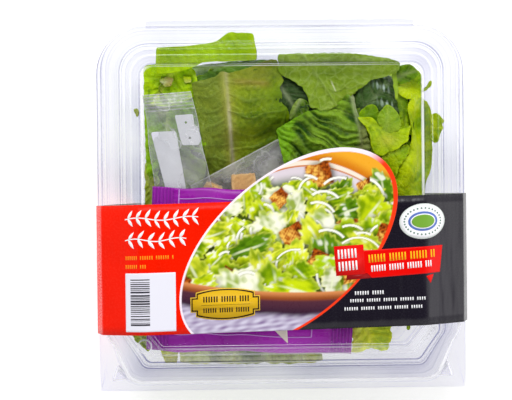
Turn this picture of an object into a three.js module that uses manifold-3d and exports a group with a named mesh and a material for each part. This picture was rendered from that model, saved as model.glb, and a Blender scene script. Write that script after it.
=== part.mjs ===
// A ready-made salad in a clear hinged clamshell with a printed card sleeve, lying on its base.
// Millimetres, +Z up, +X to the right, +Y towards the hinge. The origin is under the middle of the
// pack, on the surface it stands on.

import * as THREE from "three";
import { mergeVertices } from "three/addons/utils/BufferGeometryUtils.js";
import Module from "manifold-3d";

// ---- driving dimensions ----
const GAP = 0.3; // clearance between neighbouring pieces
const CARD = 0.45; // thickness of the sleeve's card
const SHEET = 0.6; // thickness of the clear sheet
const PANEL = 70.8; // half width of the lid's raised panel, from which all plan outlines are offset
const RIM = 24.4; // how far the flange's edge lies outside the raised panel
const TRAY_DEPTH = 46.2; // from the parting plane down to the inside of the tray's floor
const PART_Z = CARD + GAP + TRAY_DEPTH + SHEET; // the parting plane between tray and lid
const PANEL_Z = 19.6; // the raised panel above the parting plane
const RIDGE_Z = 21.2; // the stacking ridge round the panel
const BAND_Z = 12.3; // the lid's broad outer band
const HINGE_WIDTH = 138;
const HINGE_REACH = 3.12; // how far the hinge strip stands out behind the flange
const SLEEVE_FRONT = -62.6;
const SLEEVE_BACK = 2.7;
const SLEEVE_SKEW = 0.024; // the sleeve sits slightly askew: rise in y for each mm of x
const SLEEVE_HALF = 95.2;
const SLEEVE_BASE_HALF = 78.5;

// Plan corners. Outside the panel each outline keeps its form and grows by its offset.
const REAR_ROUND = 5.5; // radius of the panel's rear corners
const REAR_GROWTH = 0.75; // radius gained for each mm of offset
const FRONT_LEG = 9.5; // leg of the panel's chamfered front corners
const FRONT_GROWTH = 2 - Math.SQRT2; // leg gained by a parallel outline for each mm of offset
const WALL_OUT = 20.5; // offset at the foot of the outer wall, where the flange begins
const REAR_FLANGE = 0.2; // share of its front width that the flange keeps at the hinge side
const SIDE_FLANGE = 0.8; // and at the left and right
const EAR_LEG = 2.4;
const EAR_ROUND = 2.2;
const REAR_STEPS = 7; // facets of a rounded rear corner
const FRONT_STEPS = 3; // facets of each small round of a chamfered front corner

const wasm = await Module();
wasm.setup();

// ---- booleans ----

function toSolid(geometry, matrix = new THREE.Matrix4()) {
  const bare = geometry.index ? geometry.toNonIndexed() : geometry.clone();
  bare.deleteAttribute("normal");
  bare.deleteAttribute("uv");
  const merged = mergeVertices(bare.applyMatrix4(matrix), 1e-4);
  return new wasm.Manifold(
    new wasm.Mesh({
      numProp: 3,
      vertProperties: merged.attributes.position.array,
      triVerts: new Uint32Array(merged.index.array),
    }),
  );
}

function toGeometry(solid) {
  const mesh = solid.getMesh();
  const geometry = new THREE.BufferGeometry();
  geometry.setAttribute("position", new THREE.BufferAttribute(mesh.vertProperties, 3));
  geometry.setIndex(new THREE.BufferAttribute(mesh.triVerts, 1));
  return geometry;
}

// ---- plan outlines of the clamshell ----

// Points of an arc, without repeating its ends on the neighbours.
function arc(cx, cy, radius, from, to, steps) {
  return Array.from({ length: steps + 1 }, (_, i) => {
    const angle = from + ((to - from) * i) / steps;
    return [cx + radius * Math.cos(angle), cy + radius * Math.sin(angle)];
  });
}

// A square outline, counter-clockwise, lying `out` mm outside the raised panel: round rear corners,
// chamfered front corners. An ear fills the front corners out to nearly square.
function planOutline(out, ear = false) {
  const narrowed = (share) => PANEL + (out > WALL_OUT ? WALL_OUT + (out - WALL_OUT) * share : out);
  const half = PANEL + out;
  const side = narrowed(SIDE_FLANGE);
  const rear = narrowed(REAR_FLANGE);
  const round = Math.max(3, REAR_ROUND + REAR_GROWTH * out);
  const leg = ear ? EAR_LEG : Math.max(3, FRONT_LEG + FRONT_GROWTH * out);
  const soft = ear ? EAR_ROUND : Math.min(Math.max(2, 3 + 0.5 * out), 1.5 * leg);
  const reach = soft * Math.tan(Math.PI / 8);
  const quarter = Math.PI / 4;
  const x1 = side - leg;
  const y1 = leg - half;
  return [
    ...arc(side - round, rear - round, round, 0, 2 * quarter, REAR_STEPS),
    ...arc(round - side, rear - round, round, 2 * quarter, 4 * quarter, REAR_STEPS),
    ...arc(soft - side, y1 + reach, soft, 4 * quarter, 5 * quarter, FRONT_STEPS),
    ...arc(-x1 - reach, soft - half, soft, 5 * quarter, 6 * quarter, FRONT_STEPS),
    ...arc(x1 + reach, soft - half, soft, 6 * quarter, 7 * quarter, FRONT_STEPS),
    ...arc(side - soft, y1 + reach, soft, 7 * quarter, 8 * quarter, FRONT_STEPS),
  ];
}

// The profile of a sheet's underside: each point moved square to the upper side by the thickness.
function underside(profile, thickness) {
  return profile.map(([out, z, ear], i) => {
    const before = profile[Math.max(i - 1, 0)];
    const after = profile[Math.min(i + 1, profile.length - 1)];
    const a = i > 0 ? [out - before[0], z - before[1]] : [after[0] - out, after[1] - z];
    const b = i < profile.length - 1 ? [after[0] - out, after[1] - z] : a;
    const unitA = new THREE.Vector2(...a).normalize();
    const unitB = new THREE.Vector2(...b).normalize();
    const along = unitA.clone().add(unitB).normalize();
    const share = thickness / Math.max(along.dot(unitA), 0.6);
    return [out + along.y * share, z - along.x * share, ear];
  });
}

// A closed thin shell. The profile is its upper surface, from the middle out to the rim, as
// [offset from the raised panel, height above the parting plane, whether the corners have ears].
function thinShell(profile, thickness) {
  const levels = [...profile, ...underside(profile, thickness).reverse()];
  return loft(
    levels.map(([out, z, ear]) => planOutline(out, ear).map(([x, y]) => [x, y, z + PART_Z])),
  );
}

// Joins rings of equal length into a closed body, with flat ends.
function loft(rings) {
  const count = rings[0].length;
  const points = rings.flat();
  const first = points.push([0, 0, rings[0][0][2]]) - 1;
  const last = points.push([0, 0, rings.at(-1)[0][2]]) - 1;
  const faces = [];
  for (let i = 0; i < count; i++) {
    const j = (i + 1) % count;
    faces.push(first, i, j);
    for (let r = 0; r < rings.length - 1; r++) {
      const a = r * count;
      const b = a + count;
      faces.push(a + i, b + i, b + j, a + i, b + j, a + j);
    }
    const end = (rings.length - 1) * count;
    faces.push(last, end + j, end + i);
  }
  const geometry = new THREE.BufferGeometry();
  geometry.setAttribute("position", new THREE.Float32BufferAttribute(points.flat(), 3));
  geometry.setIndex(faces);
  return geometry;
}

// ---- the clamshell ----

const EAR_INSET = { side: 10.7, front: 8 }; // from the flange's edges to the middle of an ear's snap button

// Three-sided snap buttons on the two front ears. The lid's ones are caps over the tray's.
function earButtons(radius, height, z) {
  const x = PANEL + WALL_OUT + (RIM - WALL_OUT) * SIDE_FLANGE - EAR_INSET.side;
  const y = EAR_INSET.front - PANEL - RIM;
  return [-1, 1].map((side) => {
    const button = new THREE.CylinderGeometry(radius * 0.78, radius, height, 3);
    const place = new THREE.Matrix4()
      .makeTranslation(side * x, y, z + height / 2 + PART_Z)
      .multiply(new THREE.Matrix4().makeRotationZ((side * Math.PI) / 4))
      .multiply(new THREE.Matrix4().makeRotationX(Math.PI / 2));
    return toSolid(button, place);
  });
}

function trayGeometry() {
  const inside = [
    [-16, 1.5 - TRAY_DEPTH],
    [-14.5, -TRAY_DEPTH],
    [1.5, -TRAY_DEPTH],
    [4.4, 1.2 - TRAY_DEPTH],
    [5.8, 4.2 - TRAY_DEPTH],
    [15.2, -9.4],
    [16.2, -8.4],
    [18.2, -7.8],
    [19.2, -6.6],
    [20.4, -1.4],
    [21.4, -GAP / 2],
    [22.4, -GAP / 2],
    [RIM, -GAP / 2, true],
  ];
  const shell = toSolid(thinShell(inside, SHEET));
  const strip = new THREE.BoxGeometry(HINGE_WIDTH, HINGE_REACH + 3, SHEET);
  const rear = planOutline(RIM)[REAR_STEPS][1];
  strip.translate(0, rear + HINGE_REACH / 2 - 1.5, PART_Z - GAP / 2 - SHEET / 2);
  const bead = new THREE.CylinderGeometry(0.8, 0.8, HINGE_WIDTH, 12).rotateZ(Math.PI / 2);
  bead.translate(0, rear + HINGE_REACH - 0.8, PART_Z - GAP / 2 - SHEET / 2);
  let tray = shell.add(toSolid(strip)).add(toSolid(bead));
  for (const button of earButtons(3.9, 1.7, -GAP / 2 - 0.05)) tray = tray.add(button);
  return toGeometry(tray);
}

function lidGeometry() {
  const top = SHEET + GAP / 2;
  const outside = [
    [-1.9, PANEL_Z],
    [-1.4, RIDGE_Z - 0.3],
    [-0.7, RIDGE_Z],
    [0.1, RIDGE_Z - 0.3],
    [0.9, PANEL_Z - 0.2],
    [4.4, BAND_Z + 3.2],
    [5.2, BAND_Z + 2.6],
    [7.9, BAND_Z + 2.3],
    [8.6, BAND_Z + 1.5],
    [10.2, BAND_Z + 1.3],
    [10.8, BAND_Z + 0.6],
    [11.8, BAND_Z + 0.4],
    [12.6, BAND_Z - 0.2],
    [18.2, BAND_Z - 1],
    [19.2, BAND_Z - 1.7],
    [19.8, BAND_Z - 3],
    [20.9, top + 0.8],
    [21.5, top],
    [22.4, top],
    [RIM, top, true],
  ];
  let lid = toSolid(thinShell(outside, SHEET));
  for (const button of earButtons(5.6, 2.6, top - 0.05)) lid = lid.add(button);
  for (const hollow of earButtons(4.8, 2.2, GAP / 2 - 0.1)) lid = lid.subtract(hollow);
  return toGeometry(lid);
}

// ---- the card sleeve ----

// The loop of card seen from the front, as half of its outer outline, from the base up.
const SLEEVE_SIDE = [
  [SLEEVE_BASE_HALF, 0],
  [SLEEVE_HALF, PART_Z - 2.2],
  [SLEEVE_HALF, PART_Z + 2.1],
  [PANEL + 20.9, PART_Z + BAND_Z + 0.2],
  [PANEL + 0.6, PART_Z + RIDGE_Z + GAP + CARD],
];

function sleeveLoop() {
  const right = SLEEVE_SIDE.map(([x, z]) => new THREE.Vector2(x, z));
  const left = right.map((p) => new THREE.Vector2(-p.x, p.y)).reverse();
  const outer = [...right, ...left];
  const inner = outer.map((p, i) => {
    const before = outer.at(i - 1);
    const after = outer[(i + 1) % outer.length];
    const a = p.clone().sub(before).normalize();
    const b = after.clone().sub(p).normalize();
    const along = a.clone().add(b).normalize();
    const share = CARD / along.dot(a);
    return new THREE.Vector2(p.x - along.y * share, p.y + along.x * share);
  });
  const shape = new THREE.Shape(outer);
  shape.holes.push(new THREE.Path(inner));
  const depth = SLEEVE_BACK - SLEEVE_FRONT;
  const loop = new THREE.ExtrudeGeometry(shape, { depth, bevelEnabled: false });
  // the section stands in x and z, and runs from the front to the back
  loop.rotateX(Math.PI / 2).translate(0, SLEEVE_BACK, 0);
  const points = loop.getAttribute("position");
  for (let i = 0; i < points.count; i++) {
    points.setY(i, points.getY(i) + SLEEVE_SKEW * points.getX(i));
  }
  return toSolid(loop);
}

// The die-cut head: the part of a tilted oval that stands up behind the sleeve's back edge.
const HEAD_KEEP = 60; // depth of the part of the oval that is kept
const HEAD_LAP = 8; // how far that part runs into the band
const HEAD = { x: 2.4, y: -21.5, long: 64.8, short: 36.4, turn: THREE.MathUtils.degToRad(40), steps: 48 };

function sleeveHead() {
  const oval = new THREE.Shape();
  oval.absellipse(HEAD.x, HEAD.y, HEAD.long, HEAD.short, 0, 2 * Math.PI, false, HEAD.turn);
  const plate = new THREE.ExtrudeGeometry(oval, {
    depth: CARD,
    bevelEnabled: false,
    curveSegments: HEAD.steps,
  });
  const top = PART_Z + RIDGE_Z + GAP;
  const keep = new THREE.BoxGeometry(2 * PANEL, HEAD_KEEP, 10);
  keep.translate(0, SLEEVE_BACK + HEAD_KEEP / 2 - HEAD_LAP, top);
  return toSolid(plate.translate(0, 0, top)).intersect(toSolid(keep));
}

function sleeveGeometry() {
  return toGeometry(sleeveLoop().add(sleeveHead()));
}

// ---- what lies on the salad ----

// A flat bag, full in the middle and thin at its seals, centred on the origin.
function pillowGeometry(width, length, thickness, seal) {
  const across = 8;
  const down = 10;
  const edge = 0.25; // half the thickness of the sealed edge
  const full = (t) => Math.pow(Math.max(0, 1 - Math.pow(Math.abs(t), 2.4)), 0.6);
  const rows = [];
  for (let j = 0; j <= down; j++) {
    const v = (2 * j) / down - 1;
    const inside = Math.min(1, Math.abs(v) / (1 - (2 * seal) / length));
    rows.push(
      Array.from({ length: across + 1 }, (_, i) => {
        const u = (2 * i) / across - 1;
        const rise = edge + (thickness / 2 - edge) * full(u) * full(inside);
        return [(u * width) / 2, (v * length) / 2, rise];
      }),
    );
  }
  const grid = rows.flat();
  const points = [...grid, ...grid.map(([x, y, z]) => [x, y, -z])];
  const under = grid.length;
  const at = (i, j) => j * (across + 1) + i;
  const faces = [];
  const quad = (a, b, c, d) => faces.push(a, b, c, a, c, d);
  for (let j = 0; j < down; j++) {
    for (let i = 0; i < across; i++) {
      quad(at(i, j), at(i + 1, j), at(i + 1, j + 1), at(i, j + 1));
      quad(under + at(i, j), under + at(i, j + 1), under + at(i + 1, j + 1), under + at(i + 1, j));
    }
  }
  for (let i = 0; i < across; i++) {
    quad(at(i, 0), under + at(i, 0), under + at(i + 1, 0), at(i + 1, 0));
    quad(at(i + 1, down), under + at(i + 1, down), under + at(i, down), at(i, down));
  }
  for (let j = 0; j < down; j++) {
    quad(at(0, j + 1), under + at(0, j + 1), under + at(0, j), at(0, j));
    quad(at(across, j), under + at(across, j), under + at(across, j + 1), at(across, j + 1));
  }
  const geometry = new THREE.BufferGeometry();
  geometry.setAttribute("position", new THREE.Float32BufferAttribute(points.flat(), 3));
  geometry.setIndex(faces);
  return geometry;
}

// Size, place and turn of each bag, in mm and degrees: turn is about z, lean lifts the far end.
const DRESSING = {
  ...{ width: 80, length: 104, thickness: 7.6, seal: 7 },
  ...{ x: -15.8, y: -32.5, z: 61.4, turn: 87, lean: 0 },
};
const FORK = {
  ...{ width: 27, length: 62, thickness: 3, seal: 9 },
  ...{ x: -51.2, y: 26.4, z: 59.3, turn: 9, lean: 6 },
};
const CROUTONS = {
  ...{ width: 74, length: 56, thickness: 10, seal: 5 },
  ...{ x: -20.6, y: -7.7, z: 50.6, turn: 27.5, lean: 2 },
};

// ---- the heap of leaves ----

const HEAP_FLOOR = PART_Z - TRAY_DEPTH + 1.5 + GAP;
const HEAP_ANGLES = 48;
const HEAP_SIDES = [0.05, 0.22, 0.4, 0.58, 0.76, 0.9]; // shares of the way up the heap's side
const HEAP_CROWN = [0.94, 0.84, 0.7, 0.56, 0.42, 0.28, 0.14]; // shares of the way out on its top

// 1 well inside a bag's rectangle, falling to 0 just outside it.
function overBag(bag, x, y) {
  const turn = THREE.MathUtils.degToRad(bag.turn);
  const dx = x - bag.x;
  const dy = y - bag.y;
  const u = Math.abs(dx * Math.cos(turn) + dy * Math.sin(turn)) - bag.width / 2;
  const v = Math.abs(dy * Math.cos(turn) - dx * Math.sin(turn)) - bag.length / 2;
  return THREE.MathUtils.smoothstep(-Math.max(u, v), -12, -3);
}

// How high the leaves lie over a point of the plan.
function heapTop(x, y) {
  let z = 60.5 + 1.6 * Math.sin(x / 11 + y / 19) + 1.3 * Math.sin(y / 9 - x / 27 + 1);
  const slope = THREE.MathUtils.smoothstep(Math.max(Math.abs(x), Math.abs(y)), 66, 82);
  z -= 6.5 * slope;
  const beds = [
    [DRESSING, DRESSING.z - DRESSING.thickness / 2 - 1.2],
    [FORK, FORK.z - FORK.thickness / 2 - 3.2],
    [CROUTONS, CROUTONS.z - CROUTONS.thickness / 2 - 2.2],
  ];
  for (const [bag, bed] of beds) z = Math.min(z, THREE.MathUtils.lerp(z, bed, overBag(bag, x, y)));
  return z;
}

// How far the leaves reach from the middle in one direction, at a share of the heap's height.
function heapReach(angle, up) {
  const wall = THREE.MathUtils.lerp(PANEL + 3, PANEL + 12, Math.min(1, up * 1.25));
  const c = Math.abs(Math.cos(angle));
  const s = Math.abs(Math.sin(angle));
  const square = wall / Math.pow(Math.pow(c, 7) + Math.pow(s, 7), 1 / 7);
  const corner = (at, wide) => Math.exp(-Math.pow(Math.sin((angle - at) / 2) / wide, 2));
  const gaps = 0.3 * corner(-Math.PI / 4, 0.24) + 0.14 * corner(-0.75 * Math.PI, 0.2);
  const roundOff = 0.1 * corner(Math.PI / 4, 0.14) + 0.1 * corner(0.75 * Math.PI, 0.14);
  const uneven = 0.03 * Math.sin(7 * angle + 9 * up) + 0.022 * Math.sin(13 * angle - 14 * up);
  return square * (0.92 - gaps - roundOff + uneven);
}

// Rings from the middle of the crown out and down to the foot.
function heapGeometry() {
  const ring = (reach, height) =>
    Array.from({ length: HEAP_ANGLES }, (_, i) => {
      const angle = (2 * Math.PI * i) / HEAP_ANGLES;
      const r = reach(angle);
      const x = r * Math.cos(angle);
      const y = r * Math.sin(angle);
      return [x, y, height(x, y)];
    });
  const crown = HEAP_CROWN.toReversed().map((share) => ring((a) => share * heapReach(a, 1), heapTop));
  const sides = HEAP_SIDES.toReversed().map((up) =>
    ring((a) => heapReach(a, up), (x, y) => THREE.MathUtils.lerp(HEAP_FLOOR, heapTop(x, y) - 3, up)),
  );
  const foot = ring((a) => 0.86 * heapReach(a, 0), () => HEAP_FLOOR);
  return loft([...crown, ...sides, foot]);
}

// ---- the scene ----

function material(color, roughness, opacity = 1) {
  const transparent = opacity < 1;
  return new THREE.MeshStandardMaterial({ color, roughness, metalness: 0, opacity, transparent });
}

const clearSheet = material("#eef0f8", 0.08, 0.3);
const clearFilm = material("#e8ecec", 0.15, 0.4);
const card = material("#e8321a", 0.4);
const purpleFilm = material("#7a1a94", 0.35);
const leaves = material("#7ba822", 0.5);

const pack = new THREE.Group();

function addPiece(name, geometry, surface) {
  const mesh = new THREE.Mesh(geometry, surface);
  mesh.name = name;
  pack.add(mesh);
  return mesh;
}

function addBag(name, bag, surface) {
  const mesh = addPiece(name, pillowGeometry(bag.width, bag.length, bag.thickness, bag.seal), surface);
  mesh.position.set(bag.x, bag.y, bag.z);
  mesh.rotation.set(THREE.MathUtils.degToRad(bag.lean), 0, THREE.MathUtils.degToRad(bag.turn), "ZYX");
}

addPiece("tray", trayGeometry(), clearSheet);
addPiece("lid", lidGeometry(), clearSheet);
addPiece("sleeve", sleeveGeometry(), card);
addPiece("salad_heap", heapGeometry(), leaves);
addBag("dressing_sachet", DRESSING, purpleFilm);
addBag("fork_sachet", FORK, clearFilm);
addBag("crouton_pouch", CROUTONS, clearFilm);

export default pack;
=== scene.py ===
"""A ready-made salad in a clear clamshell with a printed card sleeve, seen from straight above.

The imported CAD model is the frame. Lengths are in millimetres in the frame's own axes (+Z up, +Y
towards the hinge) and turned into metres where the meshes are made.
"""

import math

import bpy
import numpy as np
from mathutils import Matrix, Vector
from mathutils.bvhtree import BVHTree


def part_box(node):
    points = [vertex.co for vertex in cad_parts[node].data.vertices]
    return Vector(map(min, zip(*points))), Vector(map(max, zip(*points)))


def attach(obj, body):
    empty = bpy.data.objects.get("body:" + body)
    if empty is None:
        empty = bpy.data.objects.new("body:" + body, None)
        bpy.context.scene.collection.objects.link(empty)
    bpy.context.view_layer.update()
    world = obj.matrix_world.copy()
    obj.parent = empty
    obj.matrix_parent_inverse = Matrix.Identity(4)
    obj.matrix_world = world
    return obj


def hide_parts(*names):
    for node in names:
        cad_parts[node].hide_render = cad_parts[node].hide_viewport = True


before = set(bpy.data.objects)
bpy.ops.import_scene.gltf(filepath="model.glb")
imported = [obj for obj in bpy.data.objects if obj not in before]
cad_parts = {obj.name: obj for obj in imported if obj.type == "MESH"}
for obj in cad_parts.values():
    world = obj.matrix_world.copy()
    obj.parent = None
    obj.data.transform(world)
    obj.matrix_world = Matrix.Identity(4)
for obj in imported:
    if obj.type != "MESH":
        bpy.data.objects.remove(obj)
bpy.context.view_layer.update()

MM = 0.001


def box_mm(node):
    low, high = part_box(node)
    return np.array(low) / MM, np.array(high) / MM


TRAY_LOW, TRAY_HIGH = box_mm("tray")
LID_LOW, LID_HIGH = box_mm("lid")
CARD_HIGH = box_mm("sleeve")[1]

# ---- dimensions worked out from the frame ----

GAP = 0.3  # between tray and lid at the flange
SHEET = 0.6  # thickness of the clear sheet
CARD = 0.45  # and of the card
RIM = 24.4  # how far the flange's edge lies outside the raised panel
WALL_OUT = 20.5  # where the flange begins
REAR_FLANGE = 0.2  # share of its front width that the flange keeps at the hinge side
SIDE_FLANGE = 0.8  # and at the left and right
PANEL = LID_HIGH[0] - WALL_OUT - (RIM - WALL_OUT) * SIDE_FLANGE  # half width of the raised panel
PART_Z = LID_LOW[2] - GAP / 2  # the plane where tray and lid meet
RIDGE_Z = LID_HIGH[2] - PART_Z  # top of the stacking ridge, over that plane
PANEL_Z = RIDGE_Z - 1.6  # the raised panel
BAND_Z = RIDGE_Z - 8.9  # the shoulder round it
TRAY_DEPTH = PART_Z - TRAY_LOW[2] - SHEET
CARD_TOP = CARD_HIGH[2]

# ---- small tools ----


def smooth(low, high, value):
    t = np.clip((np.asarray(value, float) - low) / (high - low), 0, 1)
    return t * t * (3 - 2 * t)


def mix(a, b, share):
    share = np.asarray(share, float)[..., None]
    return np.asarray(a, float) * (1 - share) + np.asarray(b, float) * share


def hump(value, reach, power=2):
    """A soft bump that is 1 at 0 and gone well beyond `reach`."""
    return np.exp(-((value / reach) ** power))


def ripple(x, y, seed, wavelength, waves=7):
    """Smooth unevenness, mostly between -1 and 1: a sum of plane waves in mixed directions."""
    rng = np.random.default_rng(seed)
    total = np.zeros(np.broadcast(x, y).shape)
    for _ in range(waves):
        angle = rng.uniform(0, 2 * math.pi)
        pace = 2 * math.pi / (wavelength * rng.uniform(0.65, 1.5))
        along = x * math.cos(angle) + y * math.sin(angle)
        total += np.sin(pace * along + rng.uniform(0, 2 * math.pi))
    return total / math.sqrt(waves)


def srgb(red, green, blue):
    """Linear colour of a display colour given in 0..255."""
    display = np.array([red, green, blue]) / 255
    return np.where(display <= 0.04045, display / 12.92, ((display + 0.055) / 1.055) ** 2.4)


def turned(x, y, angle):
    """A place turned round the origin."""
    return x * math.cos(angle) - y * math.sin(angle), x * math.sin(angle) + y * math.cos(angle)


def curve(start, corner, end, t):
    """A place on the short curve that rounds a corner."""
    return (1 - t) ** 2 * start + 2 * t * (1 - t) * corner + t * t * end


def lengths(steps):
    return np.linalg.norm(steps, axis=1)


def grid_faces(rows, columns, start=0, closed=False, flip=False):
    """Quads between neighbouring rows of points. Closed rows wrap round."""
    i = np.arange(rows - 1)[:, None]
    j = np.arange(columns if closed else columns - 1)[None, :]
    k = (j + 1) % columns
    quads = np.stack([i * columns + j, i * columns + k, (i + 1) * columns + k, (i + 1) * columns + j], -1)
    quads = quads.reshape(-1, 4) + start
    return quads[:, ::-1] if flip else quads


class Build:
    """Collects points, faces and point marks of one piece before it becomes a mesh."""

    def __init__(self):
        self.points, self.faces, self.paint, self.marks = [], [], [], []
        self.count = 0

    def add(self, points, faces, paint=(1, 1, 1), mark=0.0):
        points = np.asarray(points, float).reshape(-1, 3)
        for block in faces:
            self.faces += (np.asarray(block) + self.count).tolist()
        self.points.append(points)
        self.paint.append(np.broadcast_to(paint, points.shape))
        self.marks.append(np.broadcast_to(mark, len(points)))
        self.count += len(points)

    def add_rings(self, rings, mark, flip=False):
        """Closed rings joined in a row, with a face over each end."""
        count = len(rings[0])
        first = list(range(count))
        last = list(range((len(rings) - 1) * count, len(rings) * count))
        caps = ([first], [last[::-1]]) if flip else ([first[::-1]], [last])
        sides = grid_faces(len(rings), count, closed=True, flip=flip)
        self.add(np.concatenate(rings), [sides, *caps], mark=mark)

    def piece(self, name, materials, slot, replaces=()):
        mesh = bpy.data.meshes.new(name)
        mesh.from_pydata((np.concatenate(self.points) * MM).tolist(), [], self.faces)
        mesh.shade_smooth()
        paint = np.ones((self.count, 4))
        paint[:, :3] = np.concatenate(self.paint)
        mesh.attributes.new("paint", "FLOAT_COLOR", "POINT").data.foreach_set("color", paint.ravel())
        marks = np.concatenate(self.marks).astype(float)
        mesh.attributes.new("mark", "FLOAT", "POINT").data.foreach_set("value", marks)
        piece = place_piece(name, mesh, materials)
        if replaces:
            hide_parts(*replaces)
        return piece


def place_piece(name, mesh, materials):
    piece = bpy.data.objects.new(name, mesh)
    bpy.context.scene.collection.objects.link(piece)
    for material in materials:
        mesh.materials.append(material)
    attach(piece, "root")
    return piece


# ---- materials ----

PET_TINT = (0.989, 0.988, 0.999)
# the lilac grey of the painted shade in the clear sheets
PET_PAINTED_SHADE = srgb(146, 146, 188)
PET_GLOSS = 0.06
RED_INK = srgb(255, 28, 0)
DARK_INK = srgb(24, 20, 31)
INK_EDGE = -0.015  # where red meets dark, in metres across the pack


class Nodes:
    """A short way to write a material's nodes."""

    def __init__(self, name):
        self.material = bpy.data.materials.new(name)
        self.material.use_nodes = True
        self.tree = self.material.node_tree
        self.tree.nodes.clear()

    def add(self, kind, settings=None, **sockets):
        node = self.tree.nodes.new("ShaderNode" + kind)
        for key, value in (settings or {}).items():
            setattr(node, key, value)
        for key, value in sockets.items():
            self.put(node.inputs[key.replace("_", " ")], value)
        return node

    def put(self, socket, value):
        if isinstance(value, bpy.types.NodeSocket):
            self.tree.links.new(value, socket)
        elif isinstance(value, (tuple, list, np.ndarray)):
            socket.default_value = [*map(float, value), 1.0][: len(socket.default_value)]
        else:
            socket.default_value = value

    def fill(self, node, values, first=0):
        for at, value in enumerate(values, first):
            self.put(node.inputs[at], value)
        return node.outputs[0]

    def math(self, operation, *values, clamp=False):
        return self.fill(self.add("Math", {"operation": operation, "use_clamp": clamp}), values)

    def blend(self, share, a, b, kind="MIX"):
        node = self.add("Mix", {"data_type": "RGBA", "blend_type": kind})
        for at, value in ((0, share), (6, a), (7, b)):
            self.put(node.inputs[at], value)
        return node.outputs[2]

    def times(self, colour, tint):
        return self.blend(1.0, colour, tint, "MULTIPLY")

    def between(self, a, b, value, low=0.3, high=0.7):
        """From a to b as a noise rises from low to high."""
        return self.blend(self.span(value, low, high), a, b)

    def span(self, value, low, high, to_low=0.0, to_high=1.0):
        return self.fill(self.add("MapRange"), (value, low, high, to_low, to_high))

    def mark(self):
        return self.add("Attribute", {"attribute_name": "mark"}).outputs["Fac"]

    def paint(self):
        return self.add("Attribute", {"attribute_name": "paint"}).outputs["Color"]

    def facing(self):
        return self.add("LayerWeight", Blend=0.5).outputs["Facing"]

    def where(self):
        return self.add("TexCoord").outputs["Object"]

    def noise(self, scale, detail=3.0, roughness=0.55, at=None):
        where = at or self.where()
        node = self.add("TexNoise", Scale=scale, Detail=detail, Roughness=roughness)
        self.put(node.inputs["Vector"], where)
        return node.outputs["Fac"]

    def bump(self, height, distance, strength=1.0):
        return self.add("Bump", Height=height, Distance=distance, Strength=strength).outputs[0]

    def shader(self, kind, **sockets):
        return self.add("Bsdf" + kind, **sockets).outputs[0]

    def both(self, share, a, b):
        return self.fill(self.add("MixShader", Fac=share), (a, b), 1)

    def surface(self, shader):
        self.put(self.add("OutputMaterial").inputs["Surface"], shader)
        return self.material


def clear_plastic(name):
    """A clear thin sheet: it lets light straight through, a little less where it is seen along its
    surface. Where its mark is above 0, a painted shade greys it (at its formed bends, and more in the front
    walls). Where the mark is below 0, a painted highlight lays flat white over it."""
    n = Nodes(name)
    facing = n.facing()
    mark = n.mark()
    dark = n.math("MAXIMUM", mark, 0.0)
    pale = n.math("MULTIPLY", n.math("MINIMUM", mark, 0.0), -1.0)
    # painted shade: a mark above 0 greys the clear tint towards the lilac shade colour
    haze = n.math("ADD", n.math("MULTIPLY", n.math("POWER", facing, 3.0), 0.05), dark, clamp=True)
    clear = n.shader("Transparent", Color=n.blend(haze, PET_TINT, PET_PAINTED_SHADE))
    rough = n.span(n.noise(60.0), 0.3, 0.7, PET_GLOSS, PET_GLOSS * 2.2)
    waves = n.bump(n.noise(45.0, 2.0), 0.0004, 0.25)
    mirror = n.shader("Glossy", Color=(1, 1, 1), Roughness=rough, Normal=waves)
    slant = n.math("MULTIPLY", n.math("POWER", facing, 5.0), 0.26)
    sheet = n.both(n.math("ADD", slant, 0.006, clamp=True), clear, mirror)
    # painted highlight: flat white laid over the sheet where its mark is below 0
    painted_highlight = n.shader("Diffuse", Color=(0.97, 0.97, 1.0))
    return n.surface(n.both(pale, sheet, painted_highlight))


def card_board():
    """The bare inside and cut edges of the sleeve: pale grey-white board."""
    n = Nodes("card_board")
    fibre = n.noise(1200.0, 5.0)
    tone = n.between(srgb(196, 194, 190), srgb(228, 226, 222), fibre)
    relief = n.bump(fibre, 0.00003, 0.5)
    return n.surface(n.shader("Principled", Base_Color=tone, Roughness=0.75, Normal=relief))


def card_ink():
    """The sleeve's own colours, red on the left and near-black on the right, under a varnish."""
    n = Nodes("card_ink")
    where = n.add("SeparateXYZ", Vector=n.where())
    right = n.math("GREATER_THAN", where.outputs["X"], INK_EDGE)
    fibre = n.noise(900.0, 4.0)
    cloud = n.noise(24.0, 2.0)
    lengthwise = n.add("CombineXYZ", X=where.outputs["X"], Y=n.math("MULTIPLY", where.outputs["Y"], 0.16))
    waves = n.noise(120.0, 2.0, 0.5, lengthwise.outputs[0])
    red = n.between(RED_INK, RED_INK * 0.86, cloud)
    dark = n.between(DARK_INK, DARK_INK * 1.35, cloud)
    skin = n.shader(
        "Principled",
        Base_Color=n.blend(right, red, dark),
        Roughness=n.span(fibre, 0.3, 0.7, 0.24, 0.3),
        Specular_IOR_Level=n.span(right, 0.0, 1.0, 0.1, 0.32),
        Normal=n.bump(n.math("ADD", n.math("MULTIPLY", fibre, 0.003), waves), 0.0014, 1.0),
    )
    return n.surface(skin)


def painted(name, roughness=0.35):
    """A surface whose colours are laid on its points: the sleeve's picture and small prints."""
    n = Nodes(name)
    colour = n.paint()
    fibre = n.noise(700.0, 4.0)
    skin = n.shader(
        "Principled",
        Base_Color=colour,
        Roughness=n.span(fibre, 0.35, 0.65, roughness * 0.85, roughness * 1.2),
        Specular_IOR_Level=0.15,
        Normal=n.bump(fibre, 0.00002, 0.15),
    )
    return n.surface(skin)


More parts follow.
